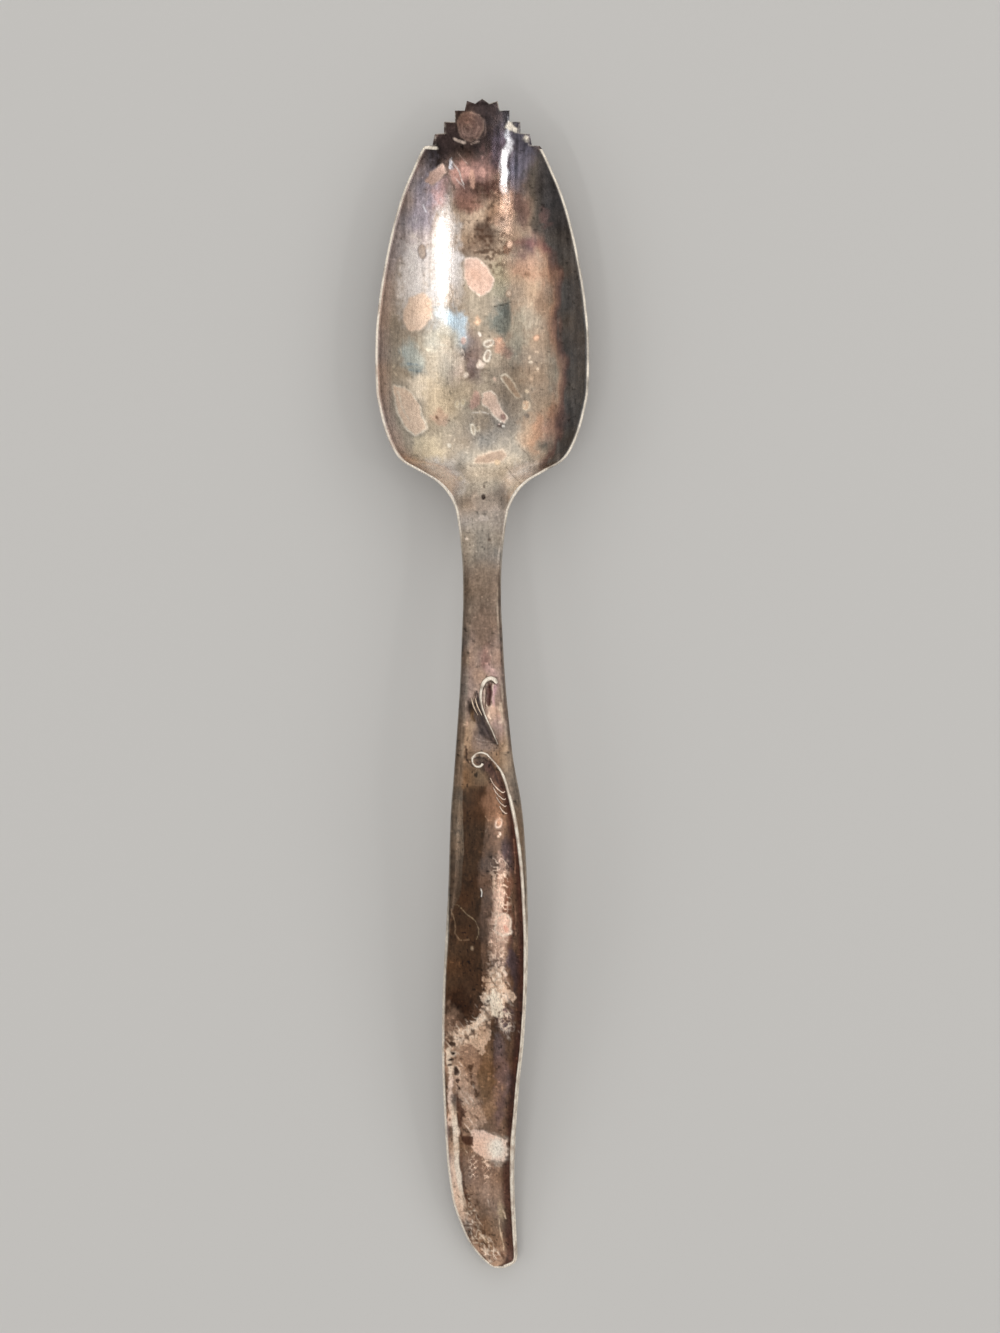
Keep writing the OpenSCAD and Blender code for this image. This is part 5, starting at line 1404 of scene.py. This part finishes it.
leaf_l, leaf_w, leaf_gap_share, leaf_x_share = 8.4, 2.2, 0.11, 0.92
bead_w, bead_h, vein_w, vein_h = 0.55, 0.3, 0.3, 0.16
leaf_start_s = collar_s - leaf_l * (1 + leaf_gap_share)
leaf_shares = [(0.075, 0.96), (0.02, 0.8), (0, 0.54), (0.05, 0.24), (0.15, 0.06), (0.3, 0), (0.46, 0.12),
               (0.62, 0.36), (0.8, 0.68), (1, 1)]
leaf_swell_shares = [(0, 0.8), (0.11, 1.2), (0.33, 1.15), (0.5, 0.75), (0.7, 0.5), (1, 0.35)]
vein_shares = [(0.3, -0.52), (0.42, -0.4), (0.56, -0.14)]
vein_step_share = 0.22
vein_swell_shares = [(0, 0.6), (0.5, 1), (1, 0.5)]


def on_leaf(shares, step=0.0):
    """Places from shares of the leaf's length and width."""
    return [(leaf_start_s + p * leaf_l, leaf_w * (q - 1 + leaf_x_share + step)) for p, q in shares]


relief_silver = plate("relief_silver", 0.8, 0.36, 0.28, 0.1, 0.005, 0.15)
leaf_path = spline(on_leaf(leaf_shares), path_steps)
raised("leaf_scroll_ridge", [ridge(leaf_path, bead_w, bead_h, leaf_swell_shares)], bright_silver,
       tone(120, 98, 84), 0.85, relief_silver, "leaf_scroll", 111)
vein_paths = [spline(on_leaf(vein_shares, k * vein_step_share), vein_steps) for k in range(2)]
raised("leaf_vein", [ridge(path, vein_w, vein_h, vein_swell_shares) for path in vein_paths],
       tone(206, 184, 160), tone(80, 64, 54), 0.6, relief_silver, "leaf_veins", 115)

# Rim scroll
# A curl on the handle, from which a raised bead runs down the right wall of the hollow and round its end.
# Four small hooked flutes nest inside it. All are struck with the blank, and the bead is worn bright.
curl_r, curl_inner_share, curl_start_angle, curl_turn = 1.4, 0.36, 64, 300
curl_centre = np.array([collar_s + 0.93 * curl_r, -0.25 * curl_r])
bead_start_share = 0.042
curl_places, bead_places, bead_row_l = 21, 53, 0.16
bead_width_shares = [(0, 0.7), (0.03, 0.5), (0.063, 0.5), (0.1, 0.62), (0.17, 0.9), (0.3, 0.8), (0.43, 0.68),
                     (0.5, 0.5), (0.7, 0.56), (0.765, 1.1), (0.82, 0.95), (0.9, 0.74), (1, 0.5)]
flute_shares = [(0, 0), (0.38, 0.2), (0.71, 0.47), (0.98, 0.83), (0.9, 1)]
flute_count, flute_shrink_share = 4, 0.17
flute_l = 1.35 * curl_r
flute_start = np.array([collar_s + 2.39 * curl_r, 0.76 * curl_r])
flute_step = np.array([0.86, 0.29]) * curl_r


def curl_path(count):
    """Spiral whose radius grows by an even factor as it turns."""
    u = np.linspace(0, 1, count)[:, None]
    angle = np.radians(curl_start_angle - curl_turn * u)
    radius = curl_r * curl_inner_share ** (1 - u)
    return curl_centre + radius * np.concatenate([np.cos(angle), np.sin(angle)], axis=1)


def bead_line(count):
    """Line along the right crease: the outline, moved in square to itself by the distance of the crease."""
    u = np.linspace(0, 1, count)
    start = collar_s + handle_l * bead_start_share

    def outline(u):
        s = end_s + (start - end_s) * (1 - u) ** 2
        return np.stack([s, right_edge(s)], axis=1)

    d = outline(np.minimum(1, u + 0.01)) - outline(u - 0.01)
    inward = np.stack([-abs(d[:, 1]), -d[:, 0]], axis=1) / np.linalg.norm(d, axis=1, keepdims=True)
    return outline(u) + inward * inset(outline(u)[:, 0], right_creases)[:, None]


def even_path(points, length):
    """The same line in steps of about one length, smoothed by a spline through its own points."""
    fine = spline(points, path_steps)
    walked = np.concatenate([[0], np.cumsum(np.hypot(*np.diff(fine, axis=0).T))])
    at = np.linspace(0, walked[-1], math.ceil(walked[-1] / length) + 1)
    return np.stack([np.interp(at, walked, fine[:, 0]), np.interp(at, walked, fine[:, 1])], axis=1)


bead_path = even_path(np.concatenate([curl_path(curl_places), bead_line(bead_places)]), bead_row_l)
raised("rim_scroll_bead", [ridge(bead_path, bead_w, bead_h, bead_width_shares)], bright_silver,
       tone(150, 124, 106), 0.95, relief_silver, "rim_scroll", 121)
flutes = []
for k in range(flute_count):
    length = flute_l * (1 - flute_shrink_share * k)
    path = [flute_start + k * flute_step + length * np.array(p) for p in flute_shares]
    flutes.append(ridge(spline(path, path_steps), vein_w, vein_h, vein_swell_shares))
raised("scroll_flute", flutes, tone(222, 196, 176), tone(74, 54, 47), 0.65, handle_silver,
       "scroll_flutes", 131)
